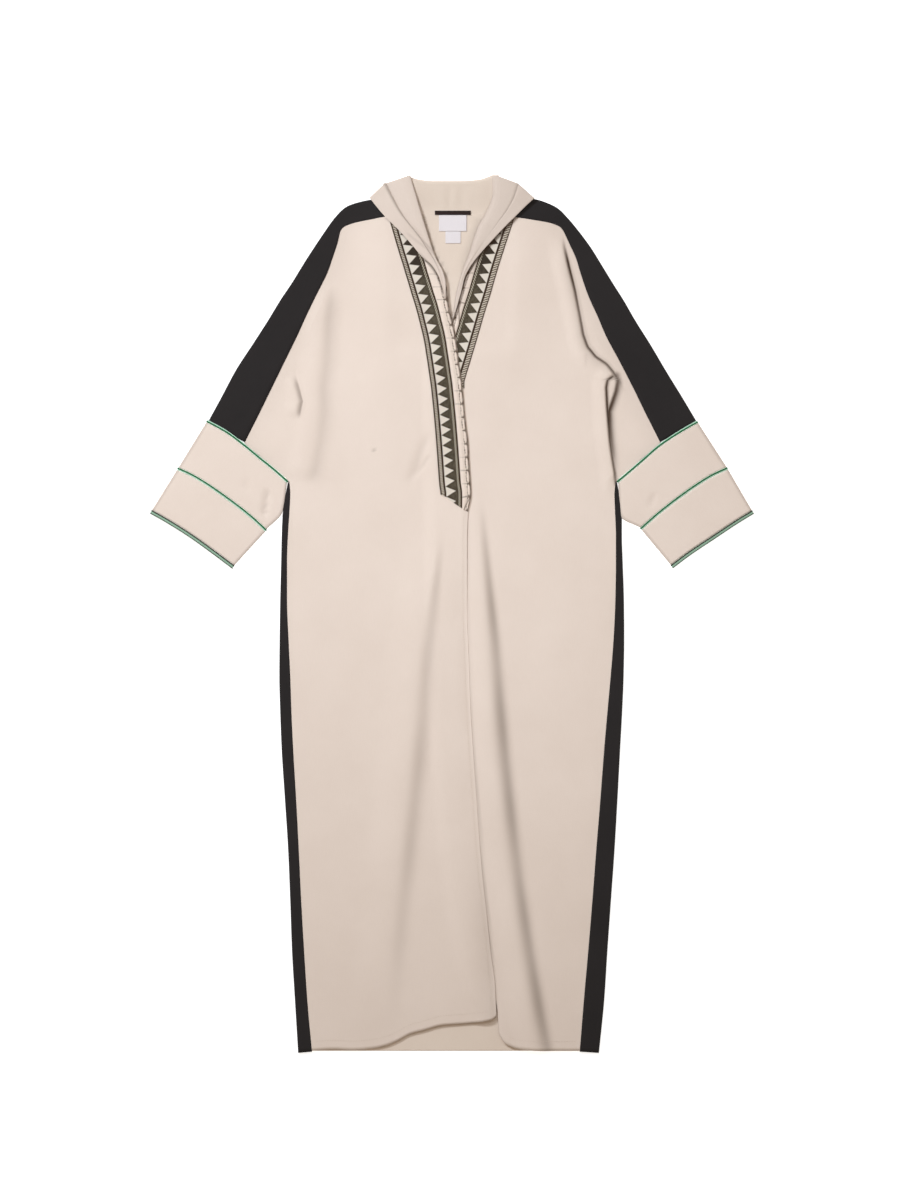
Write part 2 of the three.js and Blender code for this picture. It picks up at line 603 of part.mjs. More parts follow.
// Inside of the hood above the neck seam, rising to its top fold and over it.
function neckStand() {
  const cols = 10;
  const reachLeft = (y) => along(HOOD_LEFT.map((row) => [row.inner[1], row.inner[0]]), y);
  const reachRight = (y) => along(HOOD_RIGHT.map((row) => [row.inner[1], row.inner[0]]), y);
  const inset = ROLL_STEP + CLOTH + 1;
  const seat = HOOD_LIFT;
  const profile = [
    { share: 0, z: seat },
    { share: 0.08, z: seat },
    { share: 0.3, z: seat + STAND_RISE * 0.3 },
    { share: 0.6, z: seat + STAND_RISE * 0.75 },
    { share: 0.9, z: seat + STAND_RISE },
    { share: 0.97, z: seat + STAND_RISE - 1.5 },
    { share: 1, z: seat },
    { share: 1, z: STAND_END },
  ];
  const grid = profile.map(({ share, z }) => Array.from({ length: cols + 1 }, (_, c) => {
    const level = mix(NECK_SEAM, 738, share);
    const x = mix(reachLeft(level) + inset, reachRight(level) - inset, c / cols);
    return [x, mix(NECK_SEAM, along(HOOD_TOP, x), share), z];
  }));
  return wall(grid, offsetGrid(grid, CLOTH));
}

// ---- Neck tape and labels, flat on the back ----
function flatPatch({ left, right, low, high }, bottom, thickness) {
  const box = new THREE.BoxGeometry(right - left, high - low, thickness);
  box.translate((left + right) / 2, (low + high) / 2, bottom + thickness / 2);
  return box;
}

// ---- The garment ----
const abaya = new THREE.Group();

function add(name, geometry, look) {
  const mesh = new THREE.Mesh(geometry, new THREE.MeshStandardMaterial(look));
  mesh.name = name;
  abaya.add(mesh);
}

add("back", back(), CREAM);
add("front_underlap", frontUnderlap(), CREAM);
add("front_overlap", frontOverlap(), CREAM);
add("trim_overlap", overlapBand(OVERLAP_BAND_COLUMN, OVERLAP_LOOP_COLUMN, -GAP), WOVEN);
add("edge_band_overlap", overlapBand(OVERLAP_LOOP_COLUMN, OVERLAP_EDGE_COLUMN, GAP / 2), CREAM);
add("trim_underlap", lowerBand(LOWER_LOOP_COLUMN, LOWER_BAND_COLUMN, GAP), WOVEN);
add("edge_band_underlap", lowerBand(0, LOWER_LOOP_COLUMN, -GAP / 2), CREAM);
for (const side of ["left", "right"]) {
  const cuff = CUFFS[side];
  add(`shoulder_strip_${side}`, shoulderStrip(side), BLACK);
  add(`side_panel_${side}`, sidePanel(side), BLACK);
  add(`cuff_upper_${side}`, cuffUpper(cuff), CREAM);
  add(`cuff_lower_${side}`, cuffLower(cuff), CREAM);
  for (const seam of ["top", "middle", "hem"]) {
    add(`piping_${seam}_${side}`, piping(cuff, seam), GREEN);
  }
}
add("hood_fall", hoodFall(), CREAM);
add("neck_stand", neckStand(), CREAM);
add("hood_turn_left", hoodTurn(HOOD_LEFT), CREAM);
add("hood_turn_right", hoodTurn(HOOD_RIGHT), CREAM);
const neckTop = HOOD_LIFT + CLOTH + GAP;
add("neck_tape", flatPatch(TAPE, neckTop, LABEL), BLACK);
add("neck_label", flatPatch(NECK_LABEL, neckTop, LABEL), WHITE);
add("size_tab", flatPatch(SIZE_TAB, neckTop, LABEL), WHITE);

export default abaya;
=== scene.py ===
"""Abaya laid flat on a pale floor, face up, seen from straight above.

Sizes are in millimetres and turn into metres where a mesh is made. +X is the
viewer's right, +Y runs towards the hood, +Z is up off the floor.
"""
import math

import bmesh
import bpy
import numpy as np
from mathutils import Matrix, Vector, noise


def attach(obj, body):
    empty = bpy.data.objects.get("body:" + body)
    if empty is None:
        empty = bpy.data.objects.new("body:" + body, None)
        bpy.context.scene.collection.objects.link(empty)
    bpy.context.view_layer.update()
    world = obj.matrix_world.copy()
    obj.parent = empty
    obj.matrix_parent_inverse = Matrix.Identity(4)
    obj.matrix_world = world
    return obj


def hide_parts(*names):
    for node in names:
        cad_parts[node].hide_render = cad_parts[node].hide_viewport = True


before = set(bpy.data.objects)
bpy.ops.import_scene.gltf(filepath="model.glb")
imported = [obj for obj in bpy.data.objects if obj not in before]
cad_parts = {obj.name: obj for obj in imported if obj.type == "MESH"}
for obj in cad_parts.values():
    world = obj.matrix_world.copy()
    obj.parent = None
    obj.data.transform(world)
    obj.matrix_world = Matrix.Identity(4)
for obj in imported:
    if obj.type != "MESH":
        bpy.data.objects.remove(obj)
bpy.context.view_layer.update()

MM = 0.001

# ---- Camera: straight down over the middle of the garment ----
CAMERA_AT = (-4.25 * MM, 22.95 * MM)
CAMERA_HEIGHT = 8.525
CAMERA_LENS = 150

camera_data = bpy.data.cameras.new("camera")
camera_data.lens = CAMERA_LENS
camera_data.sensor_fit = "VERTICAL"
camera_data.sensor_width = 36
camera_data.sensor_height = 36
camera_data.clip_end = 30
camera_data.dof.use_dof = False
camera = bpy.data.objects.new("camera", camera_data)
camera.location = (*CAMERA_AT, CAMERA_HEIGHT)
bpy.context.scene.collection.objects.link(camera)
bpy.context.scene.camera = camera

# ---- Sizes shared with the construction ----
CLOTH = 1.0
FOLD_HEIGHT = 4.2
FRONT_TOP = 4.2
LOFT = 2.2
LOFT_REACH = 60
OVERLAP_RISE = 4.2
HOOD_LIFT = 6.8
FALL_HALF_WIDTH = 84
FALL_END = 470
LIFT_BLEND = 30
NECK_SEAM = 683.5
BAND_SEAM = 0.675  # share of the trimmed width that the woven band takes
WOVEN = 37.0  # widths of the woven band and of the stitched edge band beside it
EDGE_BAND = 17.0
SLEEVE_AXIS = (0.515, -0.857)
HEM_LEVEL = -741

# Outline of the left and right halves: level, then the strip's seam.
SEAM_LEFT = [
    (677, -115), (673, -140), (667, -169), (660, -186), (654, -191), (631, -197),
    (607, -205), (584, -213), (543, -233), (510, -249), (475, -265), (430, -287),
    (385, -309), (340, -331), (294, -354),
]
SEAM_RIGHT = [
    (677, 107), (673, 134), (667, 168), (660, 184), (654, 189), (631, 200),
    (607, 211), (584, 218), (543, 232), (510, 247), (475, 262), (430, 286),
    (385, 309), (340, 331), (294, 354),
]
FOLD_LEFT = [
    (-125, 708), (-146, 705), (-179, 695), (-198, 678), (-206, 668), (-222, 645),
    (-236, 624), (-249, 604), (-273, 565), (-293, 535), (-313, 502), (-340, 460),
    (-368, 417), (-392, 372), (-416, 328),
]
FOLD_RIGHT = [
    (117, 710), (141, 707), (177, 693), (195, 676), (203, 667), (222, 643),
    (237, 622), (250, 601), (272, 565), (291, 535), (310, 502), (337, 459),
    (363, 415), (390, 371), (415, 329),
]
# Side panels: level, fold and seam on each side.
SIDES = [
    (227, -279.5, -278.5, 278.5, 279.5), (205, -284, -277, 276.5, 283.5),
    (175, -288.6, -278.5, 277.5, 288), (134, -290.5, -281, 279, 288),
    (87, -291.5, -282.5, 279, 289.5), (25, -293, -282.5, 278, 291.5),
    (-40, -294, -280, 275, 292), (-104, -294.5, -277, 270, 291),
    (-165, -293, -275, 264.5, 288.5), (-229, -290.5, -272, 259, 285),
    (-314, -285, -267, 252.5, 280.5), (-400, -279.5, -262.5, 245.5, 275.5),
    (-485, -276, -258.5, 239, 269.5), (-570, -273, -253.5, 232, 263.5),
    (-655, -268, -248, 224.5, 258), (-741, -262.5, -240, 217.5, 249),
]
OVERLAP_EDGE = [
    (677, -89), (646, -69), (607, -40), (583, -19), (557, -10), (520, -5), (492, 2),
    (461, 7.5), (426, 11.5), (398, 16), (365, 19), (323, 23), (292, 27), (261, 28.5),
    (231, 30.5), (205, 32), (175, 26.5), (127, 24.5), (25, 24.5), (-85, 28),
    (-145, 30), (-229, 35), (-314, 41), (-433, 50), (-510, 58.5), (-595, 67),
    (-655, 72), (-741, 74.5),
]
OVERLAP_BAND = [
    (677, -109), (646, -100), (629, -95), (612, -90), (595, -84.6), (578, -79.6), (561, -74.4),
    (544, -69.4), (527, -64), (510, -59.2), (493, -55), (476, -50.8), (459, -47.4),
    (442, -44.8), (425, -42.2), (408, -39.8), (391, -37.3), (374, -35.4), (357, -33.6),
    (323, -30.4), (289, -27.6), (255, -25.1), (221, -22.6), (204, -20.5),
    (144, -21), (25, -28), (-42, -40), (-145, -48), (-246, -57), (-348, -67),
    (-450, -77), (-552, -89), (-741, -100),
]
LOWER_EDGE = [
    (677, 89), (646, 69), (607, 40), (587, 28), (571, 20), (554, 15), (542, 11.5),
    (520, 6.5), (503, 1.5), (476, -4), (447, -9), (394, -11), (314, -11), (195, -9),
    (25, -6), (-145, -1), (-314, 9), (-519, 33), (-638, 57), (-691, 75), (-741, 79),
]
LOWER_BAND = [
    (677, 106), (612, 84.6), (578, 74), (544, 64.3), (510, 53.6), (476, 43.8), (442, 33.7),
    (425, 28.6), (408, 23.4), (394, 20),
    (300, 34), (207, 50), (187, 53.5), (144, 60), (76, 64), (-8, 70), (-85, 74),
    (-145, 79), (-229, 89), (-314, 99.5), (-400, 108), (-485, 116.5), (-570, 128),
    (-655, 138.5), (-741, 151),
]
OVERLAP_HEM = [
    (-240, -741), (-201, -738.5), (-172, -740), (-138, -737.5), (-113, -732),
    (-94, -724), (-72, -712), (-50, -706), (-17, -697), (24, -694), (68, -687),
    (74.5, -681),
]
LOWER_HEM = [(76, -698), (80, -713), (92, -730), (119, -739), (165, -741), (218, -741)]
HEM_TURN = -570  # below this level the rows bend to meet the curved hem

CUFFS = {
    "left": {
        "side": -1,
        "top": [(-416, 332), (-385, 315), (-354, 292), (-327, 269.5), (-300, 247.5),
                (-279, 228.5)],
        "middle": [(-466, 251), (-446, 242), (-419, 226.5), (-392, 208), (-364.6, 188),
                   (-337.4, 166), (-316, 146)],
        "hem": [(-511, 178.5), (-487, 165), (-446, 139.5), (-405.5, 110.5), (-371, 84.5)],
        "elbow": (-289, 176),
    },
    "right": {
        "side": 1,
        "top": [(415, 331), (384, 313), (350, 290), (322, 265.5), (295, 242), (279, 228.5)],
        "middle": [(466, 251.5), (441, 240), (414, 223.5), (387, 204.5), (346, 172.5),
                   (319, 148.5)],
        "hem": [(509, 178), (482, 161.5), (441, 134.3), (400.3, 107), (371, 85)],
        "elbow": (285.5, 169),
    },
}

# Creases of the front layer. Each has its route, running down, and how far it fades in and
# out. trough: depth and half widths to its left and right. roll: a fold lying along the
# route's left, with its height, half the width it falls over and the width it rises over.
# grow: what share of that half width it starts with, and where it reaches the whole.
# shade: how much light is lost deep in it, and half widths to its left and right.
ARMHOLE = [(186.6, 655), (191.2, 624), (198.9, 590), (208.2, 553), (216, 513), (222.8, 476),
           (229.9, 456), (243.8, 439), (262.3, 426.6), (273.1, 414), (277.8, 406.6)]
UNDERARM = [(277, 408), (263.8, 400), (261.4, 386.5), (262.9, 355.6), (265.4, 324.7),
            (267.9, 293.8), (272.2, 266), (276.2, 241), (277.1, 224)]
LONG_FOLD = [(46, 215), (52, 160), (62, 60), (73, -42), (80.7, -144), (90, -246), (101, -348),
             (114.5, -459), (131, -570), (148.5, -672), (162, -741)]
OVERLAP_FOLD = [(-16, 150), (-30.6, 26), (-40.8, -76), (-55, -246), (-66, -348), (-77.5, -459),
                (-90, -570), (-98, -672), (-104, -741)]
CREASES = {
    "lower front": dict(line=LONG_FOLD, ends=(200, 0), roll=(6.6, 18, 40), grow=(0.5, 420),
                        trough=(0.5, 8, 8), shade=(0.37, 12, 9)),
    "under the edge": dict(line=[(22, -10), (24, -85), (28, -180), (33, -250)], ends=(60, 80),
                           trough=(1.2, 10, 12)),
    "overlap": dict(line=OVERLAP_FOLD, ends=(140, 330), roll=(5.2, 19, 60), grow=(0.45, 330),
                    trough=(0.5, 9, 8), shade=(0.15, 13, 11)),
    "left armhole": dict(
        line=[(-201, 578), (-209, 500), (-212, 433), (-218, 386.5), (-217, 340), (-223, 294),
              (-232, 247), (-244.6, 216.5)], ends=(60, 30), roll=(2.6, 24, 30),
        trough=(1.4, 12, 8), shade=(0.16, 10, 12)),
    "left sleeve": dict(
        line=[(-269, 411), (-261.6, 386.5), (-255.4, 363), (-258.5, 348), (-260.7, 331)],
        ends=(22, 16), roll=(2.2, 9, 20), trough=(1.6, 6, 1.6), shade=(0.42, 5, 1.6)),
    "by the band": dict(line=[(-36, 318), (-49, 285), (-64, 246), (-78, 215)], ends=(30, 25),
                        trough=(1.5, 9, 6), shade=(0.06, 8, 5)),
    "by the band, short": dict(line=[(-35, 276), (-49, 256), (-66, 234)], ends=(14, 12),
                               trough=(1.2, 5, 4), shade=(0.07, 4, 3)),
    "pinch": dict(line=[(-131.5, 283), (-138, 275)], ends=(3, 3), trough=(1.2, 1.8, 1.8),
                  shade=(0.35, 1.6, 1.6)),
    "right armhole": dict(line=ARMHOLE, ends=(60, 0), roll=(3.6, 7, 26), trough=(2.4, 3, 2.2),
                          shade=(0.9, 3.2, 2.5)),
    "right armhole shade": dict(line=ARMHOLE, ends=(90, 20), shade=(0.2, 12, 7)),
    "below the armhole": dict(line=[(226.8, 451), (227.7, 414)], ends=(8, 25),
                              roll=(0.9, 6, 12), shade=(0.14, 3, 2)),
    "underarm": dict(line=UNDERARM, ends=(6, 0), roll=(3.2, 5, 24), trough=(2.2, 2, 1.6),
                     shade=(0.88, 2.1, 3.0)),
    "underarm loop": dict(
        line=[(278, 406), (280.8, 395.7), (277.8, 380), (271.6, 362), (266, 346), (267, 320),
              (269.5, 293), (273, 262), (276.5, 241), (277.5, 224)], ends=(0, 60),
        trough=(2.2, 2, 5), shade=(0.84, 3.2, 7.0)),
}


# ---- Details ----
DEEP_SHADE = (0.075, 0.042, 0.024)  # the cloth's colour where all its light is lost
SHEEN_ROUGHNESS = 0.5
SPECULAR = 0.25
EDGE_ROLL = 1.9  # the overlap's front edge turns down this much
# Route of the hood's last fold, beside the overlap's edge band.
HOOD_TAIL = [(-46, 603), (-37, 595), (-32, 589), (-24.4, 576), (-19, 563), (-15.3, 547)]
# The overlap slopes down to its edge below the crossing.
EDGE_SLOPE = {"slope": dict(
    line=[(17, 100), (18, 25), (22, -85), (29, -229), (35, -314), (44, -433), (60, -595),
          (66, -690)], trough=(2.0, 16, 10), ends=(120, 60))}
# Soft shades on the turned hood edges, with no change of height.
HOOD_SOFT = {
    "left upper": dict(line=[(-87, 656), (-65, 638), (-42, 621), (-33, 606)], ends=(18, 12),
                       shade=(0.2, 4, 4)),
    "left lower": dict(line=[(-75, 665), (-58, 644), (-36, 620), (-28, 605)], ends=(25, 10),
                       shade=(0.26, 3.2, 2.6)),
    "right valley": dict(line=[(73, 722), (69.4, 697), (59.3, 677), (52, 663)], ends=(14, 12),
                         shade=(0.17, 6, 3)),
}
# Creases of the cuffs, laid out as those above.
CUFF_CREASES = {
    "left inner": dict(line=[(-314, 218), (-317, 190), (-322, 163)], ends=(16, 14),
                       trough=(3.2, 4, 5), shade=(0.12, 4, 2)),
    "left faint": dict(line=[(-350, 238), (-355, 205)], ends=(15, 15), trough=(1.0, 6, 6),
                       shade=(0.04, 4, 4)),
    "right inner": dict(line=[(341, 211), (338, 180)], ends=(14, 14), trough=(2.0, 4, 4),
                        shade=(0.05, 4, 4)),
}
# Points round a tube laid flat: on each folded side, on its crown and on the floor.
ARC_POINTS = 7
CROWN_POINTS = 30
FLOOR_POINTS = 14
FIRST_FOLD = slice(0, ARC_POINTS)
LAST_FOLD = slice(ARC_POINTS + CROWN_POINTS, 2 * ARC_POINTS + CROWN_POINTS)
CROSS_POINTS = 24  # points of a line across a cuff
CUFF_EDGE_SHADE = 0.22  # light lost along a cuff's two folded sides
# Widths of the piping and the gap beside it.
PIPING = 4.6
HEM_PIPING = 6.4
PIPE_GAP = 0.3
# Where the dark cord runs on the mint piping, from the top fold to the underarm, in shares
# of the piping's width, and the cord's radius. The rim cord is no cord: it is a dark line
# of painted shadow along the hem piping's outer edge.
CORD_PATH = {"top": (0.7, 0.35, 1.35), "middle": (0.32, 0.32, 1.35), "hem": (0.14, 0.14, 1.1),
             "rim": (0.9, 0.9, 0.75)}
CORD_SIDES = 12
# The black strips: points across their top side, and how far they lap over the seam.
STRIP_ROWS = 9
STRIP_LAP = 1.2
BAND_TOP = 672  # both bands start at this level, under the hood
PATTERN_FOOT = {"overlap": 200.8, "underlap": 530.2}  # a dark triangle's tip is at this level
TACKS = {"overlap": 22.6, "underlap": 26.5}  # distance between the edge band's tacks
HIDDEN_EDGE = {"overlap": 590, "underlap": 600}  # above this the hood hides the front edge
# Rows from the shoulder down to the crossing: outer edge, soft crease, inner roll,
# then the outer edge's lift, the roll's drop and how far it spreads inward.
HOOD_LEFT = [
    ((-141, 709), (-115.5, 732.5), (-75, 745.5), 1.6, 8, 3.5),
    ((-127, 691), (-103, 708), (-66, 715), 1.8, 8, 3.5),
    ((-114, 676), (-90, 685), (-56, 681), 2.0, 8, 3.5),
    ((-88, 650), (-74, 664), (-45, 646), 2.0, 7.5, 3.2),
    ((-66, 625), (-57, 643), (-37, 622), 2.0, 6, 2.8),
    ((-49, 605), (-41.5, 619), (-28.5, 602), 1.8, 5, 2.6),
    ((-35, 592), (-29, 598), (-19.5, 586), 1.6, 4, 2.2),
    ((-24, 575), (-20.5, 577), (-14, 568), 1.4, 3, 2.0),
    ((-17.5, 556), (-15.5, 556), (-12.5, 553), 1.2, 2, 1.2),
    ((-13.5, 540), (-13, 540), (-12.5, 540), 1.0, 1.0, 0.5),
]
HOOD_RIGHT = [
    ((139, 708), (111.5, 732.5), (76, 745.5), 3.0, 4, 9),
    ((124, 694), (103, 707), (78, 716), 4.0, 4, 10),
    ((109, 679), (90, 684), (68, 686), 5.0, 6, 10),
    ((89, 659), (74, 662), (52, 659), 6.0, 6.5, 9),
    ((70, 639), (59, 641), (42, 632), 6.0, 5, 8),
    ((51, 618), (43, 618), (33, 607), 5.0, 5, 7),
    ((35, 598), (29, 597), (23, 588), 4.0, 4.5, 5),
    ((21.5, 575), (18.5, 573), (14.5, 566), 2.6, 3.5, 3.5),
    ((14.8, 549), (12, 548), (9, 546), 1.8, 3, 3),
    ((6.8, 521), (5.5, 521), (4.2, 520), 1.4, 2, 1.6),
    ((1, 505), (0.5, 505), (0, 505), 1.0, 1, 0.5),
]
# Across a turned hood edge: 0 is its outer edge, 1 the crease, 2 the inner roll; then height.
# On the left the cloth doubles back under itself at the crease, as in a soft pleat.
SECTION_LEFT = [
    (0, 0), (0.02, 0.5), (0.1, 1.0), (0.35, 2.2), (0.7, 3.6), (0.93, 4.2), (1.02, 4.0),
    (1.05, 3.3), (1.03, 2.4), (0.97, 1.7), (0.9, 1.1), (0.96, 0.5), (1.12, 0.7), (1.3, 1.8),
    (1.6, 3.8), (1.85, 5.0), (2, 5.0),
]
SECTION_RIGHT = [
    (0, 0), (0.02, 0.5), (0.12, 0.9), (0.5, 1.2), (1.0, 1.5), (1.3, 1.8), (1.6, 2.0),
    (1.85, 2.0), (2, 1.7),
]
RIGHT_GROOVE = 0.8  # depth of the right edge's crease at the shoulder; it dies out downward
# Past the inner roll: share of its spread, then share of its drop.
ROLL_LEFT = [(0.5, 0.04), (0.9, 0.16), (1, 0.3), (0.85, 0.5), (0.2, 0.7), (-0.4, 1)]
ROLL_RIGHT = [(0.2, 0.04), (0.45, 0.18), (0.7, 0.45), (0.88, 0.78), (1, 1)]
# The hood's cloth goes over its top rim and down behind: share of the way down, then outward.
BEHIND_RIM = [(1, -0.3), (0.85, 0.2), (0.6, 0.4), (0.35, 0.4), (0.12, 0.2)]
BEHIND_FOOT = 1.4  # level where that cloth ends
HOOD_ROWS = 130
HOOD_COLUMNS = 90
STAND_SHADE = 0.1  # light lost on the inside of the hood, above the neck seam
STAND_TOP = 737  # level of its top fold at the middle
# Profile of that inside: share of its height from the seam to the top fold, then its level.
STAND_PROFILE = [(-0.12, 7.7), (0.0, 8.2), (0.1, 8.9), (0.25, 9.9), (0.5, 11.6), (0.75, 12.8),
                 (0.9, 13.2), (0.97, 12.2), (1, 10.5), (1.01, 8), (1.0, 3.4)]
# Profile of the hood behind the neck, in soft layers: share of its length, then its level.
FALL_PROFILE = [(0.0, 3.2), (0.02, 5.2), (0.06, 6.3), (0.3, 6.6), (0.9, 6.6), (0.97, 6.1),
                (1.0, 4.9), (1.0, 3.4), (0.97, 2.2), (0.8, 2.6), (0.78, 2.1), (0.98, 1.7),
                (1.0, 1.1), (0.97, 0.5), (0.5, 0.3), (0.03, 0.4)]
PATTERN = 0.01745  # length of one triangle along the band, in metres
PANEL_DROP = (1.5, 3.5)  # the black side panels end a little lower, at their seam and fold

# Light and floor, in metres. Each light has its place, size and power.
KEY_LIGHT = ((-1.7, 2.1, 2.6), 0.7, 78)
OVERHEAD_LIGHT = ((0.1, 0.15, 1.25), 0.9, 4.6)
LIGHT_COLOUR = (0.92, 1.0, 1.09)
ROOM_COLOUR = (0.355, 0.305, 0.25, 1)
FLOOR_HALF = 6
FLOOR_LEVEL = -0.0006
FLOOR_COLOUR = (0.9, 0.9, 0.9, 1)
FLOOR_GLOW = 0.7


# ---- Lines and fields, worked out on arrays ----
class Line:
    """Smooth line through (position, value) pairs, with no overshoot."""

    def __init__(self, pairs):
        rows = sorted(pairs)
        self.at = np.array([row[0] for row in rows], float)
        self.value = np.array([row[1] for row in rows], float)
        step = np.diff(self.at)
        rise = np.diff(self.value) / step
        slope = np.zeros(len(rows))
        slope[0], slope[-1] = rise[0], rise[-1]
        for i in range(1, len(rows) - 1):
            if rise[i - 1] * rise[i] > 0:
                near, far = 2 * step[i] + step[i - 1], step[i] + 2 * step[i - 1]
                slope[i] = (near + far) / (near / rise[i - 1] + far / rise[i])
        self.slope = slope

    def __call__(self, where):
        where = np.clip(np.asarray(where, float), self.at[0], self.at[-1])
        i = np.clip(np.searchsorted(self.at, where, side="right") - 1, 0, len(self.at) - 2)
        span = self.at[i + 1] - self.at[i]
        t = (where - self.at[i]) / span
        a, b = self.value[i], self.value[i + 1]
        m, n = self.slope[i] * span, self.slope[i + 1] * span
        return (a * (1 + 2 * t) * (1 - t) ** 2 + m * t * (1 - t) ** 2
                + b * t * t * (3 - 2 * t) - n * t * t * (1 - t))


def ease(t):
    """Soft step from 0 to 1."""
    c = np.clip(t, 0, 1)
    return c * c * (3 - 2 * c)


def curve(points, count):
    """Evenly parted points of a smooth curve through the given ones."""
    pts = np.array(points, float)
    run = np.concatenate([[0], np.cumsum(np.hypot(*np.diff(pts, axis=0).T[:2]))])
    share = np.linspace(0, run[-1], count)
    return np.stack([Line(list(zip(run, pts[:, k])))(share) for k in range(pts.shape[1])], 1)


def route_distance(x, y, points):
    """Distance to a route, positive on the side of larger x where it runs down, and how far
    along it the nearest point is.
    """
    best = np.full(x.shape, 1e9)
    side = np.zeros(x.shape)
    where = np.zeros(x.shape)
    run = 0.0
    for (ax, ay), (bx, by) in zip(points, points[1:]):
        dx, dy = bx - ax, by - ay
        length = math.hypot(dx, dy)
        t = np.clip(((x - ax) * dx + (y - ay) * dy) / length ** 2, 0, 1)
        away = np.hypot(x - ax - t * dx, y - ay - t * dy)
        nearer = away < best
        best = np.where(nearer, away, best)
        side = np.where(nearer, np.sign((y - ay) * dx - (x - ax) * dy), side)
        where = np.where(nearer, run + t * length, where)
        run += length
    return best * side, where, run


def hollow(away, depth, left, right):
    """Soft hollow round a route, with its own half width on each side."""
    return depth * np.exp(-(away / np.where(away < 0, left, right)) ** 2)


def crease_height(x, y, creases=CREASES):
    """How far creases raise the cloth, and how much light is lost in them."""
    height = np.zeros(x.shape)
    shade = np.zeros(x.shape)
    for crease in creases.values():
        away, where, run = route_distance(x, y, crease["line"])
        first, last = crease["ends"]
        fade = ease(where / first) if first else np.ones(x.shape)
        if last:
            fade = fade * ease((run - where) / last)
        fade *= 1 + 0.2 * np.sin(where / 37) * np.sin(where / 91 + 1)
        narrow, full_at = crease.get("grow", (1, 1))
        spread = narrow + (1 - narrow) * ease(where / full_at)
        height -= fade * hollow(away, *crease.get("trough", (0, 1, 1)))
        lost = hollow(away / spread, *crease.get("shade", (0, 1, 1)))
        shade = np.maximum(shade, fade * lost)
        if "roll" in crease:
            high, fall, rise = crease["roll"]
            half = fall * spread
            near = 1 - ease((away + half) / (2 * half))
            far = ease((away + half + rise) / rise)
            height += fade * high * np.where(away > -half, near, far)
    return height, shade


def unevenness(x, y, size, seed):
    """Soft irregular waves, -1 to 1, of the given size in millimetres."""
    flat = [noise.noise(Vector((a / size, b / size, seed))) for a, b in zip(x.ravel(), y.ravel())]
    return np.array(flat).reshape(x.shape)


def panel_corner(cuff_line):
    """A point close to the underarm, so that the side line turns sharply there."""
    (ax, ay), (bx, by) = cuff_line[-2:]
    return by + (ay - by) * 0.12, bx + (ax - bx) * 0.12


def body_edge(strip_seam, cuff_line, panel):
    """The front's side line: down the shoulder strip, the cuff's seam and the side panel."""
    return Line(strip_seam + [(y, x) for x, y in cuff_line[3:-1]] + [panel_corner(cuff_line)]
                + panel)


seam_left = body_edge(SEAM_LEFT, CUFFS["left"]["top"], [(row[0], row[2]) for row in SIDES])
seam_right = body_edge(SEAM_RIGHT, CUFFS["right"]["top"], [(row[0], row[3]) for row in SIDES])
overlap_edge = Line(OVERLAP_EDGE)
overlap_band = Line(OVERLAP_BAND)
lower_edge = Line(LOWER_EDGE)
lower_band = Line(LOWER_BAND)
overlap_hem = Line(OVERLAP_HEM)
lower_hem = Line(LOWER_HEM)
# Lower end of the overlap's band: share across its width, then level.
BAND_END = Line([(0, 204.7), (0.22, 198.9), (0.39, 191.5), (0.58, 184.2), (0.79, 177.9),
                 (1, 175.4)])
LOWER_BAND_END = Line([(0, 385), (1, 385)])
HOOD_TOP = Line([(-80, 747), (-72, 744), (-60, 740), (-32, 737), (12, 737), (44, 739),
                 (61, 744), (68, 747)])


def hood_lift(x, y, blend=LIFT_BLEND, long_blend=LIFT_BLEND):
    """How far the folded hood under the neck lifts what lies on it."""
    across = ease(1 - (np.abs(x) - FALL_HALF_WIDTH - 2) / blend)
    down = ease(1 - (FALL_END - 4 - y) / long_blend)
    return HOOD_LIFT * across * down


def front_top(x, y):
    from_left = np.maximum(0, x - seam_left(y))
    from_right = np.maximum(0, seam_right(y) - x)
    rise = (1 - np.exp(-from_left / LOFT_REACH)) * (1 - np.exp(-from_right / LOFT_REACH))
    lift = hood_lift(x, y, 115, 240)
    calm = 1 - 0.7 * hood_lift(x, y) / HOOD_LIFT
    waves = 1.1 * unevenness(x, y * 0.4, 80, 3) + 0.4 * unevenness(x, y * 0.35, 34, 8)
    shape = LOFT * rise + (crease_height(x, y)[0] + waves) * np.minimum(1, rise * 4)
    return FRONT_TOP + lift + shape * calm


def overlap_top(x, y):
    before = lower_edge(np.minimum(y, 540)) - x
    return front_top(x, y) + OVERLAP_RISE * ease((45 - before) / 27)


# ---- Meshes ----
def finish_mesh(name, bm, material):
    """Turn the bmesh into a smooth piece of the part's one body."""
    mesh = bpy.data.meshes.new(name)
    bm.to_mesh(mesh)
    bm.free()
    piece = bpy.data.objects.new(name, mesh)
    bpy.context.scene.collection.objects.link(piece)
    mesh.materials.append(material)
    mesh.polygons.foreach_set("use_smooth", [True] * len(mesh.polygons))
    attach(piece, "root")
    return piece


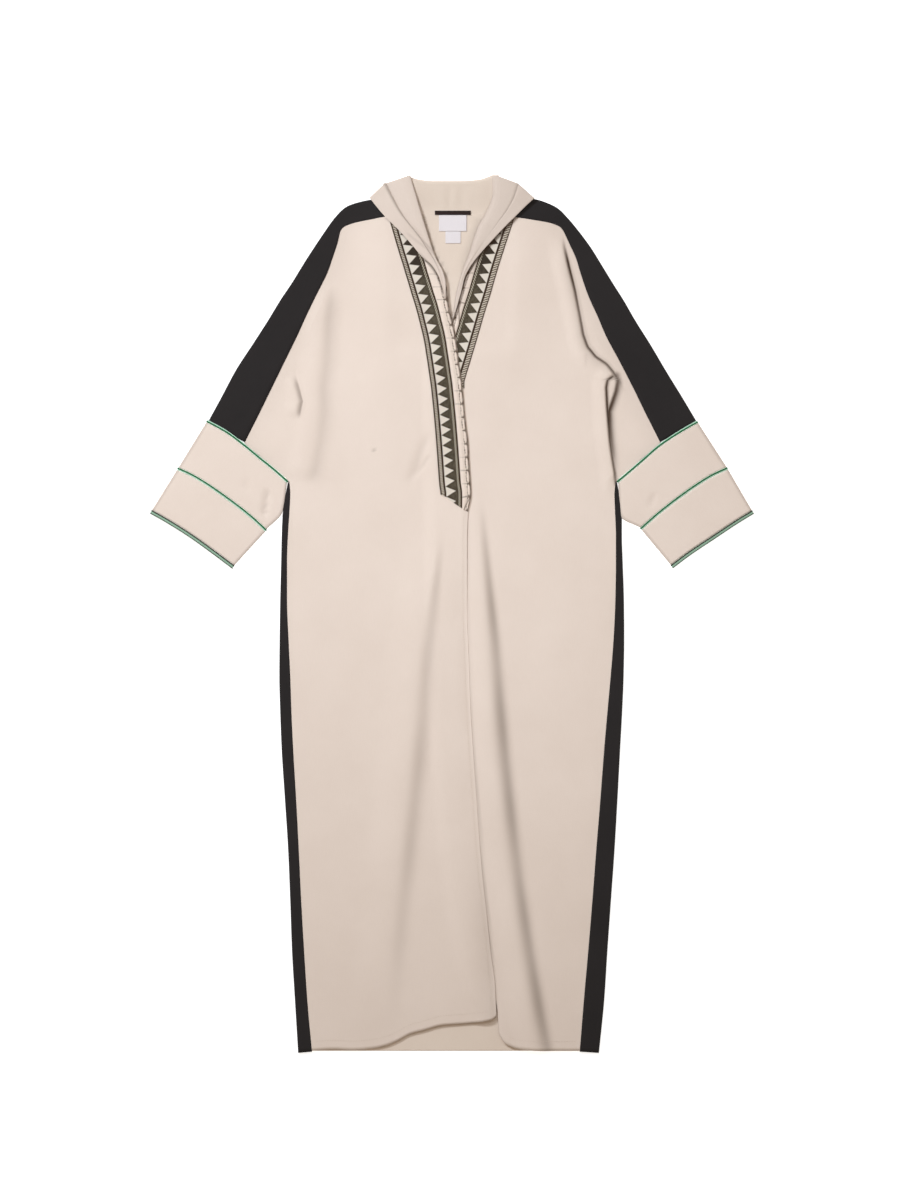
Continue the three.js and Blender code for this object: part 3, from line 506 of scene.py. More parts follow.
def cloth_sheet(name, points, material, thick=CLOTH, ring=False, chart=None,
                shade=None, replaces=True):
    """A sheet of cloth from rows of points (row, column, xyz), given its thickness.

    The UV map holds metres, U across the sheet and V along it, unless chart gives them.
    shade is how much light each point loses by lying deep in a crease. replaces is whether
    the imported part of its name is hidden, for the sheet to take its place.
    """
    rows, cols = points.shape[:2]
    bm = bmesh.new()
    layer = bm.loops.layers.uv.new("cloth")
    # The shade attribute is painted shade: the share of DEEP_SHADE the materials mix into the
    # colour.
    depth = bm.verts.layers.float.new("shade")
    bmesh.ops.create_grid(bm, x_segments=cols - 1, y_segments=rows - 1, size=0.5)
    bm.verts.ensure_lookup_table()
    order = sorted(bm.verts, key=lambda v: (round((0.5 - v.co.y) * (rows - 1)), v.co.x))
    across = np.zeros((rows, cols))
    along = np.zeros((rows, cols))
    across[:, 1:] = np.cumsum(np.linalg.norm(np.diff(points, axis=1), axis=2), axis=1)
    along[1:] = np.cumsum(np.linalg.norm(np.diff(points, axis=0), axis=2), axis=0)
    u, v = chart if chart else (across * MM, along * MM)
    for n, vert in enumerate(order):
        r, c = divmod(n, cols)
        vert.co = Vector(points[r, c]) * MM
        if shade is not None:
            vert[depth] = shade[r, c]
        for loop in vert.link_loops:
            loop[layer].uv = (u[r, c], v[r, c])
    if ring:
        bmesh.ops.remove_doubles(bm, verts=bm.verts, dist=0.02 * MM)
    bmesh.ops.recalc_face_normals(bm, faces=bm.faces)
    highest = max(bm.faces, key=lambda f: f.calc_center_median().z)
    if highest.normal.z < 0:
        bmesh.ops.reverse_faces(bm, faces=bm.faces)
    piece = finish_mesh(name, bm, material)
    wall = piece.modifiers.new("wall", "SOLIDIFY")
    wall.thickness = thick * MM
    wall.offset = -1
    wall.use_even_offset = False
    if replaces:
        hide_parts(name)


def rows_of_levels(high, low, step, dense=()):
    """Levels from high to low, closer together inside the dense stretch."""
    levels = [high]
    while levels[-1] > low:
        here = levels[-1]
        levels.append(here - (dense[1] if dense and here > dense[0] else step))
    levels[-1] = low
    return np.array(levels)


def columns_between(lines, counts):
    """Column places on each row between guide lines, closest together beside the guides."""
    parts = []
    for left, right, count in zip(lines, lines[1:], counts):
        t = np.linspace(0, 1, count + 1)[:-1]
        bent = t - 0.11 * np.sin(math.tau * t)
        parts.append(left[:, None] + (right - left)[:, None] * bent[None, :])
    return np.hstack(parts + [lines[-1][:, None]])


def panel_points(lines, top, levels, counts, hem=None):
    """Rows of points between guide lines, lying at the height that top gives."""
    x = columns_between([line(levels) for line in lines], counts)
    y = np.repeat(levels[:, None], x.shape[1], 1)
    if hem:
        down = np.maximum(0, (HEM_TURN - y) / (HEM_TURN - HEM_LEVEL))
        y = np.where(down > 0, HEM_TURN + (hem(x) - HEM_TURN) * down, y)
    return np.stack([x, y, top(x, y)], 2)


# ---- Materials ----
def maths(operation, turned=False):
    """A method that adds a Math node, with its values the other way round if turned."""
    def method(*values):
        ordered = reversed(values) if turned else values
        return values[0].shader.node("ShaderNodeMath", {"operation": operation}, *ordered)
    return method


class Sock:
    """A socket that Python's operators work on, adding Math nodes."""

    def __init__(self, shader, socket):
        self.shader = shader
        self.socket = socket

    __add__ = __radd__ = maths("ADD")
    __sub__ = maths("SUBTRACT")
    __rsub__ = maths("SUBTRACT", turned=True)
    __mul__ = __rmul__ = maths("MULTIPLY")
    __truediv__ = maths("DIVIDE")
    __rtruediv__ = maths("DIVIDE", turned=True)
    least = maths("MINIMUM")
    most = maths("MAXIMUM")
    fract = maths("FRACT")
    sine = maths("SINE")

    def smooth_step(self, low, high):
        return self.shader.node(
            "ShaderNodeMapRange", {"interpolation_type": "SMOOTHSTEP", "clamp": True},
            self, low, high, 0.0, 1.0)


class Shader:
    """A new Principled material, and one method that adds any other node."""

    def __init__(self, name, roughness, sheen):
        self.material = bpy.data.materials.new(name)
        self.material.use_nodes = True
        self.tree = self.material.node_tree
        self.surface = self.tree.nodes["Principled BSDF"]
        self.surface.inputs["Roughness"].default_value = roughness
        self.surface.inputs["Sheen Weight"].default_value = sheen
        self.surface.inputs["Sheen Roughness"].default_value = SHEEN_ROUGHNESS
        self.surface.inputs["Specular IOR Level"].default_value = SPECULAR

    def node(self, kind, settings, *values):
        made = self.tree.nodes.new(kind)
        for key, value in settings.items():
            setattr(made, key, value)
        for i, value in enumerate(values):
            if isinstance(value, Sock):
                self.tree.links.new(value.socket, made.inputs[i])
            elif value is not None:
                made.inputs[i].default_value = value
        return Sock(self, made.outputs[0])

    def split(self, vector):
        made = self.tree.nodes.new("ShaderNodeSeparateXYZ")
        self.tree.links.new(vector.socket, made.inputs[0])
        return [Sock(self, made.outputs[i]) for i in range(3)]

    def coordinates(self, kind):
        made = self.tree.nodes.new("ShaderNodeTexCoord")
        return Sock(self, made.outputs[kind])

    def scaled(self, vector, *scale):
        return self.node("ShaderNodeVectorMath", {"operation": "MULTIPLY"}, vector, scale)

    def noise(self, vector, scale, detail, roughness=0.55):
        return self.node("ShaderNodeTexNoise", {}, vector, None, scale, detail, roughness)

    def fibres(self, uv, across, along, detail, roughness=0.55):
        """Noise on the cloth's chart, with its scale across the sheet and along it."""
        return self.noise(self.scaled(uv, across, along, 1), 1.0, detail, roughness)

    def mix(self, factor, first, second):
        made = self.tree.nodes.new("ShaderNodeMix")
        made.data_type = "RGBA"
        for key, value in (("Factor", factor), ("A", first), ("B", second)):
            socket = next(s for s in made.inputs
                          if s.name == key and s.type == ("VALUE" if key == "Factor" else "RGBA"))
            if isinstance(value, Sock):
                self.tree.links.new(value.socket, socket)
            else:
                socket.default_value = value if key == "Factor" else (*value, 1)
        return Sock(self, next(s for s in made.outputs if s.type == "RGBA"))

    def give(self, name, value):
        if isinstance(value, Sock):
            self.tree.links.new(value.socket, self.surface.inputs[name])
        else:
            self.surface.inputs[name].default_value = value

    def shaded(self, colour):
        """The colour with painted shade: darker and warmer where the piece's shade attribute says
        so.
        """
        made = self.tree.nodes.new("ShaderNodeAttribute")
        made.attribute_name = "shade"
        return self.mix(Sock(self, made.outputs["Fac"]), colour, DEEP_SHADE)

    def bump(self, height, distance, strength):
        made = self.tree.nodes.new("ShaderNodeBump")
        made.inputs["Strength"].default_value = strength
        made.inputs["Distance"].default_value = distance
        self.tree.links.new(height.socket, made.inputs["Height"])
        self.give("Normal", Sock(self, made.outputs["Normal"]))


def weave_height(across, along, thread):
    """Plain weave: over and under threads, 0 to 1, with a thread's width in metres."""
    turn = math.pi / thread
    a = (across * turn).sine()
    b = (along * turn).sine()
    return (a * b) * 0.5 + 0.5


def cloth_material(name, light, dark, thread=0.0007, rough=0.92, sheen=0.25):
    """Matt crepe: fine uneven weave, faint clouding and slubs."""
    shader = Shader(name, roughness=rough, sheen=sheen)
    uv = shader.coordinates("UV")
    across, along, _ = shader.split(uv)
    cloud = shader.noise(shader.coordinates("Object"), 9.0, 4.0)
    grain = shader.fibres(uv, 1400, 520, 3.0, 0.7)
    slubs = shader.fibres(uv, 900, 60, 2.0)
    pebble = shader.fibres(uv, 700, 700, 2.0)
    tone = (cloud * 0.45 + grain * 0.35 + slubs * 0.2).smooth_step(0.2, 0.8)
    shader.give("Base Color", shader.shaded(shader.mix(tone, dark, light)))
    shader.give("Roughness", grain * 0.08 + (rough - 0.04))
    weave = weave_height(across, along, thread)
    shader.bump(weave * 0.5 + pebble * 0.35 + slubs * 0.25, 0.00022, 0.55)
    return shader.material


def linear(r, g, b):
    """Linear colour from 0-255 display values."""
    return tuple(((c / 255 + 0.055) / 1.055) ** 2.4 if c > 10 else c / 255 / 12.92
                 for c in (r, g, b))


CREAM = cloth_material("cream crepe", linear(240, 224, 212), linear(231, 214, 201))
CREAM_BACK = cloth_material("cream crepe inside", linear(240, 224, 209), linear(230, 212, 196))
BLACK = cloth_material("black crepe", linear(45, 41, 41), linear(35, 32, 32),
                       thread=0.0008, rough=0.95, sheen=0.08)


# ---- Panels ----
def edge_turned(top, edge, depth, reach):
    """The same surface, turned down along a front edge."""
    return lambda x, y: top(x, y) - depth * np.exp(-((x - edge(y)) / reach) ** 2)


def beside_tail(x, y):
    """Groove where the hood's last fold dives in beside the edge band."""
    away, _, _ = route_distance(x, y, HOOD_TAIL)
    return 2.6 * np.exp(-((away + 0.8) / 1.5) ** 2)


def sloped_overlap(x, y):
    return overlap_top(x, y) + crease_height(x, y, EDGE_SLOPE)[0]


overlap_surface = edge_turned(sloped_overlap, overlap_edge, EDGE_ROLL, 6.0)
lower_surface = edge_turned(front_top, lower_edge, 1.2, 5.0)


def back_surface(x, y):
    return hood_lift(x, y) + 1.2 + 0.25 * unevenness(x, y, 60, 21) * ease(hood_lift(x, y))


def make_back():
    levels = rows_of_levels(683, HEM_LEVEL, 9, dense=(640, 3))
    points = panel_points([seam_left, seam_right], back_surface, levels, [90])
    x, y = points[:, :, 0], points[:, :, 1]
    cloth_sheet("back", points, CREAM_BACK, thick=1.2, shade=in_the_neck(x, y))


def tail_under(x, y, surface):
    """The front itself lies lower under its band, beside the hood's last folds."""
    under = ease((x - overlap_band(y) - 4) / 8) * ease((y - 500) / 50)
    return surface(x, y) - 2.8 * under


def front_levels():
    return np.concatenate([rows_of_levels(677, 636, 1.6), rows_of_levels(633, 224, 3),
                           rows_of_levels(217, HEM_LEVEL, 8)])


def guide(route, above, below):
    """A column line that follows a route and carries on above and below it."""
    return Line([(y, x) for x, y in above + route[1:-1] + below])


def in_the_neck(x, y):
    """Light lost on the back's inside, beside the hood's two inner edges."""
    left, _, _ = route_distance(x, y, [row[2] for row in HOOD_LEFT])
    right, _, _ = route_distance(x, y, [(46, 669), (36, 642), (26, 613), (19, 590)])
    open_neck = 0.045 * ease((y - 500) / 100)
    return np.maximum(hollow(left, 0.55, 2, 3.2), hollow(right, 0.13, 8, 6)) + open_neck


def under_hood(x, y):
    """Light lost beside the hood's edges, which lie raised on the fronts and bands."""
    right, _, _ = route_distance(x, y, [row[0] for row in reversed(HOOD_RIGHT)])
    left, _, _ = route_distance(x, y, [row[0] for row in HOOD_LEFT])
    return np.maximum(hollow(right, 0.8, 5, 5), hollow(left, 0.35, 2, 2))


def beside_edge(x, y):
    """Light lost beside the overlap's edge, more of it towards the hem."""
    low = ease((150 - y) / 800)
    return hollow(x - overlap_edge(y), 0.10 + 0.25 * low, 3, 3.5) * ease((180 - y) / 30)


def on_edge(x, y):
    """The overlap itself turns away from the light towards its edge."""
    low = ease((-350 - y) / 200)
    return hollow(x - overlap_edge(y), 0.12, 22, 1) * low


def by_strip(x, y):
    """Light lost on the cream beside the black strips of the shoulders and sleeves."""
    near = np.minimum(np.abs(x - seam_left(y)), np.abs(seam_right(y) - x))
    fade = ease((y - 240) / 60)
    return np.maximum(hollow(near, 0.3, 1, 3), hollow(near, 0.07, 1, 26)) * fade


def make_front(name, lines, surface, hem, counts, extra):
    points = panel_points(lines, surface, front_levels(), counts, hem)
    x, y = points[:, :, 0], points[:, :, 1]
    shade = np.maximum.reduce([crease_height(x, y)[1], under_hood(x, y), by_strip(x, y),
                               extra(x, y)])
    cloth_sheet(name, points, CREAM, shade=shade)


# ---- Strips and tubes ----
FOLD_ARC = np.radians(np.linspace(90, -90, ARC_POINTS))


def folded_points(seam, fold, seam_top):
    """Cloth folded round an edge: over the top from its seam, round and back underneath."""
    run = fold - seam
    length = np.linalg.norm(run, axis=1)[:, None]
    unit = run / length
    radius = FOLD_HEIGHT / 2
    sections = []
    for share in np.linspace(0, 1, STRIP_ROWS):
        away = -STRIP_LAP + share * (length - radius + STRIP_LAP)
        z = seam_top + (FOLD_HEIGHT - seam_top) * share
        sections.append(np.hstack([seam + unit * away, z.reshape(-1, 1)]))
    for angle in FOLD_ARC[1:]:
        away = length - radius + radius * math.cos(angle)
        z = np.full((len(seam), 1), radius + radius * math.sin(angle))
        sections.append(np.hstack([seam + unit * away, z]))
    for share in (0.66, 0.33, 0.0):
        away = 0.4 + share * (length - radius)
        sections.append(np.hstack([seam + unit * away, np.zeros((len(seam), 1))]))
    return np.stack(sections, 1)


def by_row(points, count):
    """More rows between table rows, each column smooth over the row number."""
    pts = np.array(points, float)
    at = np.linspace(0, len(pts) - 1, count)
    return np.stack([Line(list(enumerate(pts[:, k])))(at) for k in range(pts.shape[1])], 1)


def make_folded_strip(name, seam, fold, rows):
    seam, fold = by_row(seam, rows), by_row(fold, rows)
    seam_top = front_top(seam[:, 0], seam[:, 1]) + 0.35
    wobble = 0.25 * unevenness(seam[:, 0], seam[:, 1], 70, 5)
    cloth_sheet(name, folded_points(seam, fold, seam_top + wobble), BLACK)


def cuff_loft(x, y, share):
    waves = 0.5 * unevenness(x, y, 55, 31)
    return (2.4 + waves) * np.sin(math.pi * share) + crease_height(x, y, CUFF_CREASES)[0]


def tube_points(lines, proud=0.0):
    """Rings of a tube laid flat, from rows of cross lines (row, point, xy)."""
    radius = (FOLD_HEIGHT + proud) / 2
    rings = []
    for line in lines:
        smooth = curve(line, CROWN_POINTS + 2)
        first = (smooth[0] - smooth[1]) / np.linalg.norm(smooth[0] - smooth[1])
        last = (smooth[-1] - smooth[-2]) / np.linalg.norm(smooth[-1] - smooth[-2])
        ring = []
        for angle in -FOLD_ARC:
            ring.append([*(smooth[0] + first * radius * (math.cos(angle) - 1)),
                         radius + radius * math.sin(angle)])
        share = np.linspace(0, 1, CROWN_POINTS + 2)[1:-1]
        inside = smooth[1:-1]
        z = 2 * radius + cuff_loft(inside[:, 0], inside[:, 1], share)
        ring += [[x, y, height] for (x, y), height in zip(inside, z)]
        for angle in FOLD_ARC:
            ring.append([*(smooth[-1] + last * radius * (math.cos(angle) - 1)),
                         radius + radius * math.sin(angle)])
        for x, y in curve(line, FLOOR_POINTS + 2)[-2:0:-1]:
            ring.append([x, y, 0.0])
        ring.append(ring[0])
        rings.append(ring)
    return np.array(rings)


def slid(line, side, distance):
    axis = np.array([side * SLEEVE_AXIS[0], SLEEVE_AXIS[1]])
    return np.array(line, float) + axis * distance


def cuff_rows(lines, count):
    """Cross lines between the given ones, smooth along the sleeve."""
    flat = by_row(np.array(lines).reshape(len(lines), -1), count)
    return flat.reshape(count, CROSS_POINTS, 2)


def make_cuffs(side):
    cuff = CUFFS[side]
    sign = cuff["side"]
    top, middle, hem = (np.array(cuff[key], float) for key in ("top", "middle", "hem"))
    start = PIPING + 2 * PIPE_GAP
    top, middle, hem = (curve(line, CROSS_POINTS) for line in (top, middle, hem))
    elbow = top + (middle - top) * 0.6
    toward = ease((np.linspace(0, 1, CROSS_POINTS) - 0.6) / 0.4)[:, None]
    elbow += (np.array(cuff["elbow"]) - elbow[-1]) * toward
    upper = cuff_rows([slid(top, sign, start), elbow, middle], 34)
    lower = cuff_rows([slid(middle, sign, start), hem], 26)
    for part, rows in (("upper", upper), ("lower", lower)):
        points = tube_points(rows)
        shade = np.zeros(points.shape[:2])
        shade[:, FIRST_FOLD] = shade[:, LAST_FOLD] = CUFF_EDGE_SHADE
        lost = crease_height(points[:, :, 0], points[:, :, 1], CUFF_CREASES)[1]
        cloth_sheet(f"cuff_{part}_{side}", points, CREAM, ring=True,
                    shade=np.maximum(shade, lost))


def make_piping(side, seam):
    cuff = CUFFS[side]
    wide = HEM_PIPING if seam == "hem" else PIPING
    line = slid(cuff[seam], cuff["side"], PIPE_GAP)
    shares = np.linspace(0, 1, 9)
    rows = [slid(line, cuff["side"], wide * share) for share in shares]
    points = tube_points([np.array(row) for row in rows], proud=0.4)
    crown = np.sin(math.pi * shares) * 0.5
    points[:, :, 2] += np.where(points[:, :, 2] > 1, crown[:, None], 0)
    # The hem piping takes the darker copy of the mint, as painted shade.
    cloth_sheet(f"piping_{seam}_{side}", points, SHADED_MINT if seam == "hem" else MINT,
                thick=0.8, ring=True)
    make_cord(f"piping_cord_{seam}_{side}", points, CORD_PATH[seam],
              DARK_CORD if seam == "hem" else EMERALD)
    # On the hem piping a dark rim cord stands in for the shadow along its outer edge.
    if seam == "hem":
        make_cord(f"piping_rim_{side}", points, CORD_PATH["rim"], DARK_CORD)


def make_cord(name, ring_rows, path, material):
    """A dark cord sewn along the piping at a slowly shifting place; the rim one is painted
    shadow.
    """
    first, last, radius = path
    crown = ring_rows[:, :-(FLOOR_POINTS + 1)]
    share = np.linspace(first, last, crown.shape[1]) * (len(ring_rows) - 1)
    low = np.minimum(share.astype(int), len(ring_rows) - 2)
    part = (share - low)[:, None]
    place = np.arange(crown.shape[1])
    centre = crown[low, place] * (1 - part) + crown[low + 1, place] * part
    tangent = np.gradient(centre, axis=0)
    tangent /= np.linalg.norm(tangent, axis=1)[:, None]
    ring = []
    for point, way in zip(centre, tangent):
        across = np.cross(way, (0, 0, 1))
        norm = np.linalg.norm(across)
        across = across / norm if norm > 0.2 else np.array([*SLEEVE_AXIS, 0])
        normal = np.cross(across, way)
        ring.append([point + across * radius * math.cos(a) + normal * 0.75 * radius * math.sin(a)
                     for a in np.linspace(0, math.tau, CORD_SIDES + 1)])
    cloth_sheet(name, np.array(ring), material, thick=0.4, ring=True,
                replaces=False)


# ---- Bands on the fronts ----
def length_above(line, foot):
    """Distance measured along a band's outer line from the given level."""
    step = 4.0
    levels = np.arange(140, 700, step)
    run = np.concatenate([[0], np.cumsum(np.hypot(step, np.diff(line(levels))))])
    table = Line(list(zip(levels, run)))
    return lambda level: table(level) - table(foot)


def band_line(outer, width):
    """A line at an even distance inward of a band's outer line."""
    levels = np.arange(130, 681, 10.0)
    slope = (outer(levels + 4) - outer(levels - 4)) / 8
    return Line(list(zip(levels, outer(levels) + width * np.hypot(1, slope))))


def band_points(key, outer, lines, shares, surface, end, rows, cols, relief):
    """Rows of part of a band, from BAND_TOP down to its end, with its chart."""
    share = np.linspace(*shares, cols)[None, :]
    y = BAND_TOP + (end(share) - BAND_TOP) * np.linspace(0, 1, rows)[:, None]
    a, b = lines[0](y), lines[1](y)
    x = a + (b - a) * (share - shares[0]) / (shares[1] - shares[0])
    along = length_above(outer, PATTERN_FOOT[key])(y)
    z = surface(x, y) + relief(share, along / TACKS[key])
    return np.stack([x, y, z], 2), (share * np.ones_like(y), along * MM)


def trim_relief(share, tacks):
    """Raised braids of the woven band."""
    braids = np.exp(-((share - 0.085) / 0.03) ** 2) + np.exp(-((share - 0.59) / 0.03) ** 2)
    return 0.9 + 0.45 * braids


def edge_relief(share, tacks):
    """The edge band puffs up between its tacks and is held down by a line of stitches."""
    swell = np.abs(np.sin(math.pi * tacks)) ** 0.45
    wide = np.exp(-((share - 0.77) / 0.06) ** 2) * (0.7 + 0.3 * swell)
    narrow = np.exp(-((share - 0.93) / 0.034) ** 2) * swell
    return 0.6 + 0.9 * wide + 1.1 * narrow


def grooved_overlap(x, y):
    return overlap_surface(x, y) - beside_tail(x, y)


def tucked_in(level):
    """How much narrower the edge band gets under the hood, to stay out of sight."""
    return 0.3 * max(0, level - 640)


def tail_shade(x, y):
    away, _, _ = route_distance(x, y, HOOD_TAIL)
    return hollow(away, 0.75, 1.6, 2.4) * ease((y - 500) / 40)


def make_bands():
    jobs = [
        ("overlap", overlap_band, overlap_edge, grooved_overlap, BAND_END, 320, WOVEN_LEFT),
        ("underlap", lower_band, lower_edge, lower_surface, LOWER_BAND_END, 200, WOVEN_RIGHT),
    ]
    for key, outer, front_edge, surface, end, rows, woven in jobs:
        toward = 1 if key == "overlap" else -1
        seam = band_line(outer, toward * WOVEN)
        full = band_line(outer, toward * (WOVEN + EDGE_BAND))
        inner = Line([(y, float(full(y) - toward * tucked_in(y) if y > HIDDEN_EDGE[key]
                                else front_edge(y))) for y in np.arange(130.0, 681, 8)])
        points, chart = band_points(key, outer, (outer, seam), (0, BAND_SEAM), surface, end,
                                    rows, 40, trim_relief)
        shade = under_hood(points[:, :, 0], points[:, :, 1])
        cloth_sheet(f"trim_{key}", points, woven, thick=0.7, chart=chart,
                    shade=shade)
        points, chart = band_points(key, outer, (seam, inner), (BAND_SEAM + 0.006, 1), surface,
                                    end, rows, 26, edge_relief)
        shade = under_hood(points[:, :, 0], points[:, :, 1])
        if key == "overlap":
            shade = np.maximum(shade, tail_shade(points[:, :, 0], points[:, :, 1]))
        cloth_sheet(f"edge_band_{key}", points, STITCHED[key], thick=0.7,
                    chart=chart, shade=shade)


# ---- Hood ----
def hood_ground(x, y):
    """Top of the trimmed front under a turned hood edge."""
    front = front_top(x, y)
    over = np.where(x <= overlap_edge(y) + 6, overlap_top(x, y), 0)
    return np.maximum(front, over) + 1.2


def down_behind(points):
    """The sheet with rows added that close its top rim down to the surface it lies on."""
    rim = points[0]
    rows = []
    for down, out in BEHIND_RIM:
        row = rim.copy()
        row[:, 1] += out
        row[:, 2] += (BEHIND_FOOT - rim[:, 2]) * down
        rows.append(row)
    return np.concatenate([np.array(rows), points])


def make_hood_turn(name, table, section, roll, crease_shade, reach, edge_shade, base_shade,
                   groove=0):
    rows = HOOD_ROWS
    flat = [[*outer, *crease, *inner, *rest] for outer, crease, inner, *rest in table]
    lines = by_row(flat, rows)
    outer, crease, inner = lines[:, 0:2], lines[:, 2:4], lines[:, 4:6]
    lift, drop, spread = lines[:, 6], lines[:, 7], lines[:, 8]
    toward = 1 if table[0][0][0] < 0 else -1
    size = np.clip(np.linalg.norm(inner - outer, axis=1) / 45, 0.04, 1)
    line_no = np.arange(rows)
    points = []
    shade = []
    for place, puff in curve(section, HOOD_COLUMNS):
        first = min(1, max(0, place))
        spot = outer + (crease - outer) * first + (inner - crease) * max(0, place - 1)
        dip = groove * math.exp(-((place - 1) / 0.08) ** 2) * ease((rows * 0.42 - line_no) / 35)
        high = lift + puff * size - dip
        wave = 0.45 * unevenness(spot[:, 0], spot[:, 1], 30, 12) * size * min(1, place * 2)
        ground = hood_ground(spot[:, 0], spot[:, 1])
        points.append(np.stack([spot[:, 0], spot[:, 1], ground + high + wave], 1))
        deep = hollow(np.full(rows, place - 1), *crease_shade)
        deep *= ease((rows * reach - line_no) / (rows * 0.2))
        tail = hollow(np.full(rows, place), 0.8, 0.14, 0.14) * ease((line_no - rows * 0.45) / 25)
        shade.append(base_shade + np.maximum(deep, tail))
    rim = points[-1]
    for out, down in curve([(0, 0)] + roll, 14)[1:]:
        step = rim.copy()
        step[:, 0] += toward * spread * out
        step[:, 2] -= drop * down
        points.append(step)
        shade.append(np.full(rows, base_shade + edge_shade * down ** 0.9))
    points = down_behind(np.stack(points, 1))
    soft = crease_height(points[:, :, 0], points[:, :, 1], HOOD_SOFT)[1]
    shade = np.stack(shade, 1)
    shade = np.concatenate([np.repeat(shade[:1], len(BEHIND_RIM), 0), shade])
    cloth_sheet(name, points, CREAM, thick=0.8, shade=np.maximum(shade, soft))


def make_neck_stand():
    """Inside of the hood above the neck seam, over its top fold and down behind."""
    left = Line([(row[2][1], row[2][0]) for row in HOOD_LEFT])
    right = Line([(row[2][1], row[2][0]) for row in HOOD_RIGHT])
    levels = by_row(STAND_PROFILE, 44)
    levels = np.vstack([[STAND_PROFILE[0][0] - 0.004, STAND_PROFILE[0][1] - 0.2], levels])
    share = np.linspace(0, 1, 80)
    rows = []
    for step, height in levels:
        level = NECK_SEAM + (STAND_TOP - NECK_SEAM) * step
        a, b = float(left(level)) - 2, float(right(level)) + 2
        x = a + (b - a) * share
        y = NECK_SEAM + (HOOD_TOP(x) - NECK_SEAM) * step
        fade = math.sin(math.pi * min(1, max(0, step)))
        ribs = 0.45 * np.sin(x / 5.1 + 1.6 * np.sin(x / 13)) * fade
        rows.append(np.stack([x, y, height + ribs], 1))
    fade_in = (0.45 + 0.55 * ease(levels[:, 0] / 0.3))[:, None]
    cloth_sheet("neck_stand", np.array(rows), CREAM_BACK,
                shade=STAND_SHADE * fade_in * np.ones(80))


def make_hood_fall():
    """The rest of the hood, folded down in soft layers behind the neck, under the back."""
    across, down = FALL_HALF_WIDTH - 6, (NECK_SEAM + 2, FALL_END + 6)
    rows = []
    for share, height in curve(FALL_PROFILE, 80):
        x = np.linspace(-1, 1, 60)
        y = down[0] + (down[1] - down[0]) * share + 3 * np.sin(x * 5) * share
        ends = (1 - np.abs(x) ** 8)
        z = 0.4 + (height - 0.4) * (0.25 + 0.75 * ends)
        rows.append(np.stack([across * x, y + 0 * x, z], 1))
    cloth_sheet("hood_fall", np.array(rows), CREAM_BACK, thick=0.8)


# ---- Neck tape and blank labels ----
def make_patch(name, left, right, low, high, z, material, thick, wave=0.0):
    x, y = np.meshgrid(np.linspace(left, right, 40), np.linspace(high, low, 26))
    lift = wave * (np.sin(x / 9 + 1) * 0.5 + 0.5) * ((high - y) / (high - low)) ** 2
    cloth_sheet(name, np.stack([x, y, z + lift], 2), material, thick=thick)


# ---- The rest of the materials ----
def piping_material(name, light, dark):
    shader = Shader(name, roughness=0.7, sheen=0.3)
    uv = shader.coordinates("UV")
    grain = shader.fibres(uv, 900, 2600, 2.0)
    shader.give("Base Color", shader.mix(grain.smooth_step(0.3, 0.7), dark, light))
    shader.bump(grain, 0.0002, 0.6)
    return shader.material


MINT = piping_material("mint piping", linear(200, 234, 212), linear(172, 214, 188))
# A darker copy of the mint piping, for the hem piping of the cuffs: painted shade.
SHADED_MINT = piping_material("mint piping in painted shade", linear(160, 192, 168), linear(132, 166, 142))
EMERALD = piping_material("emerald cord", linear(26, 118, 68), linear(16, 90, 50))
DARK_CORD = piping_material("dark cord", linear(58, 66, 50), linear(40, 44, 32))


def between(value, low, high, soft):
    """1 between two values and 0 outside them, with soft sides."""
    return value.smooth_step(low - soft, low + soft) * (1 - value.smooth_step(high - soft,
                                                                              high + soft))


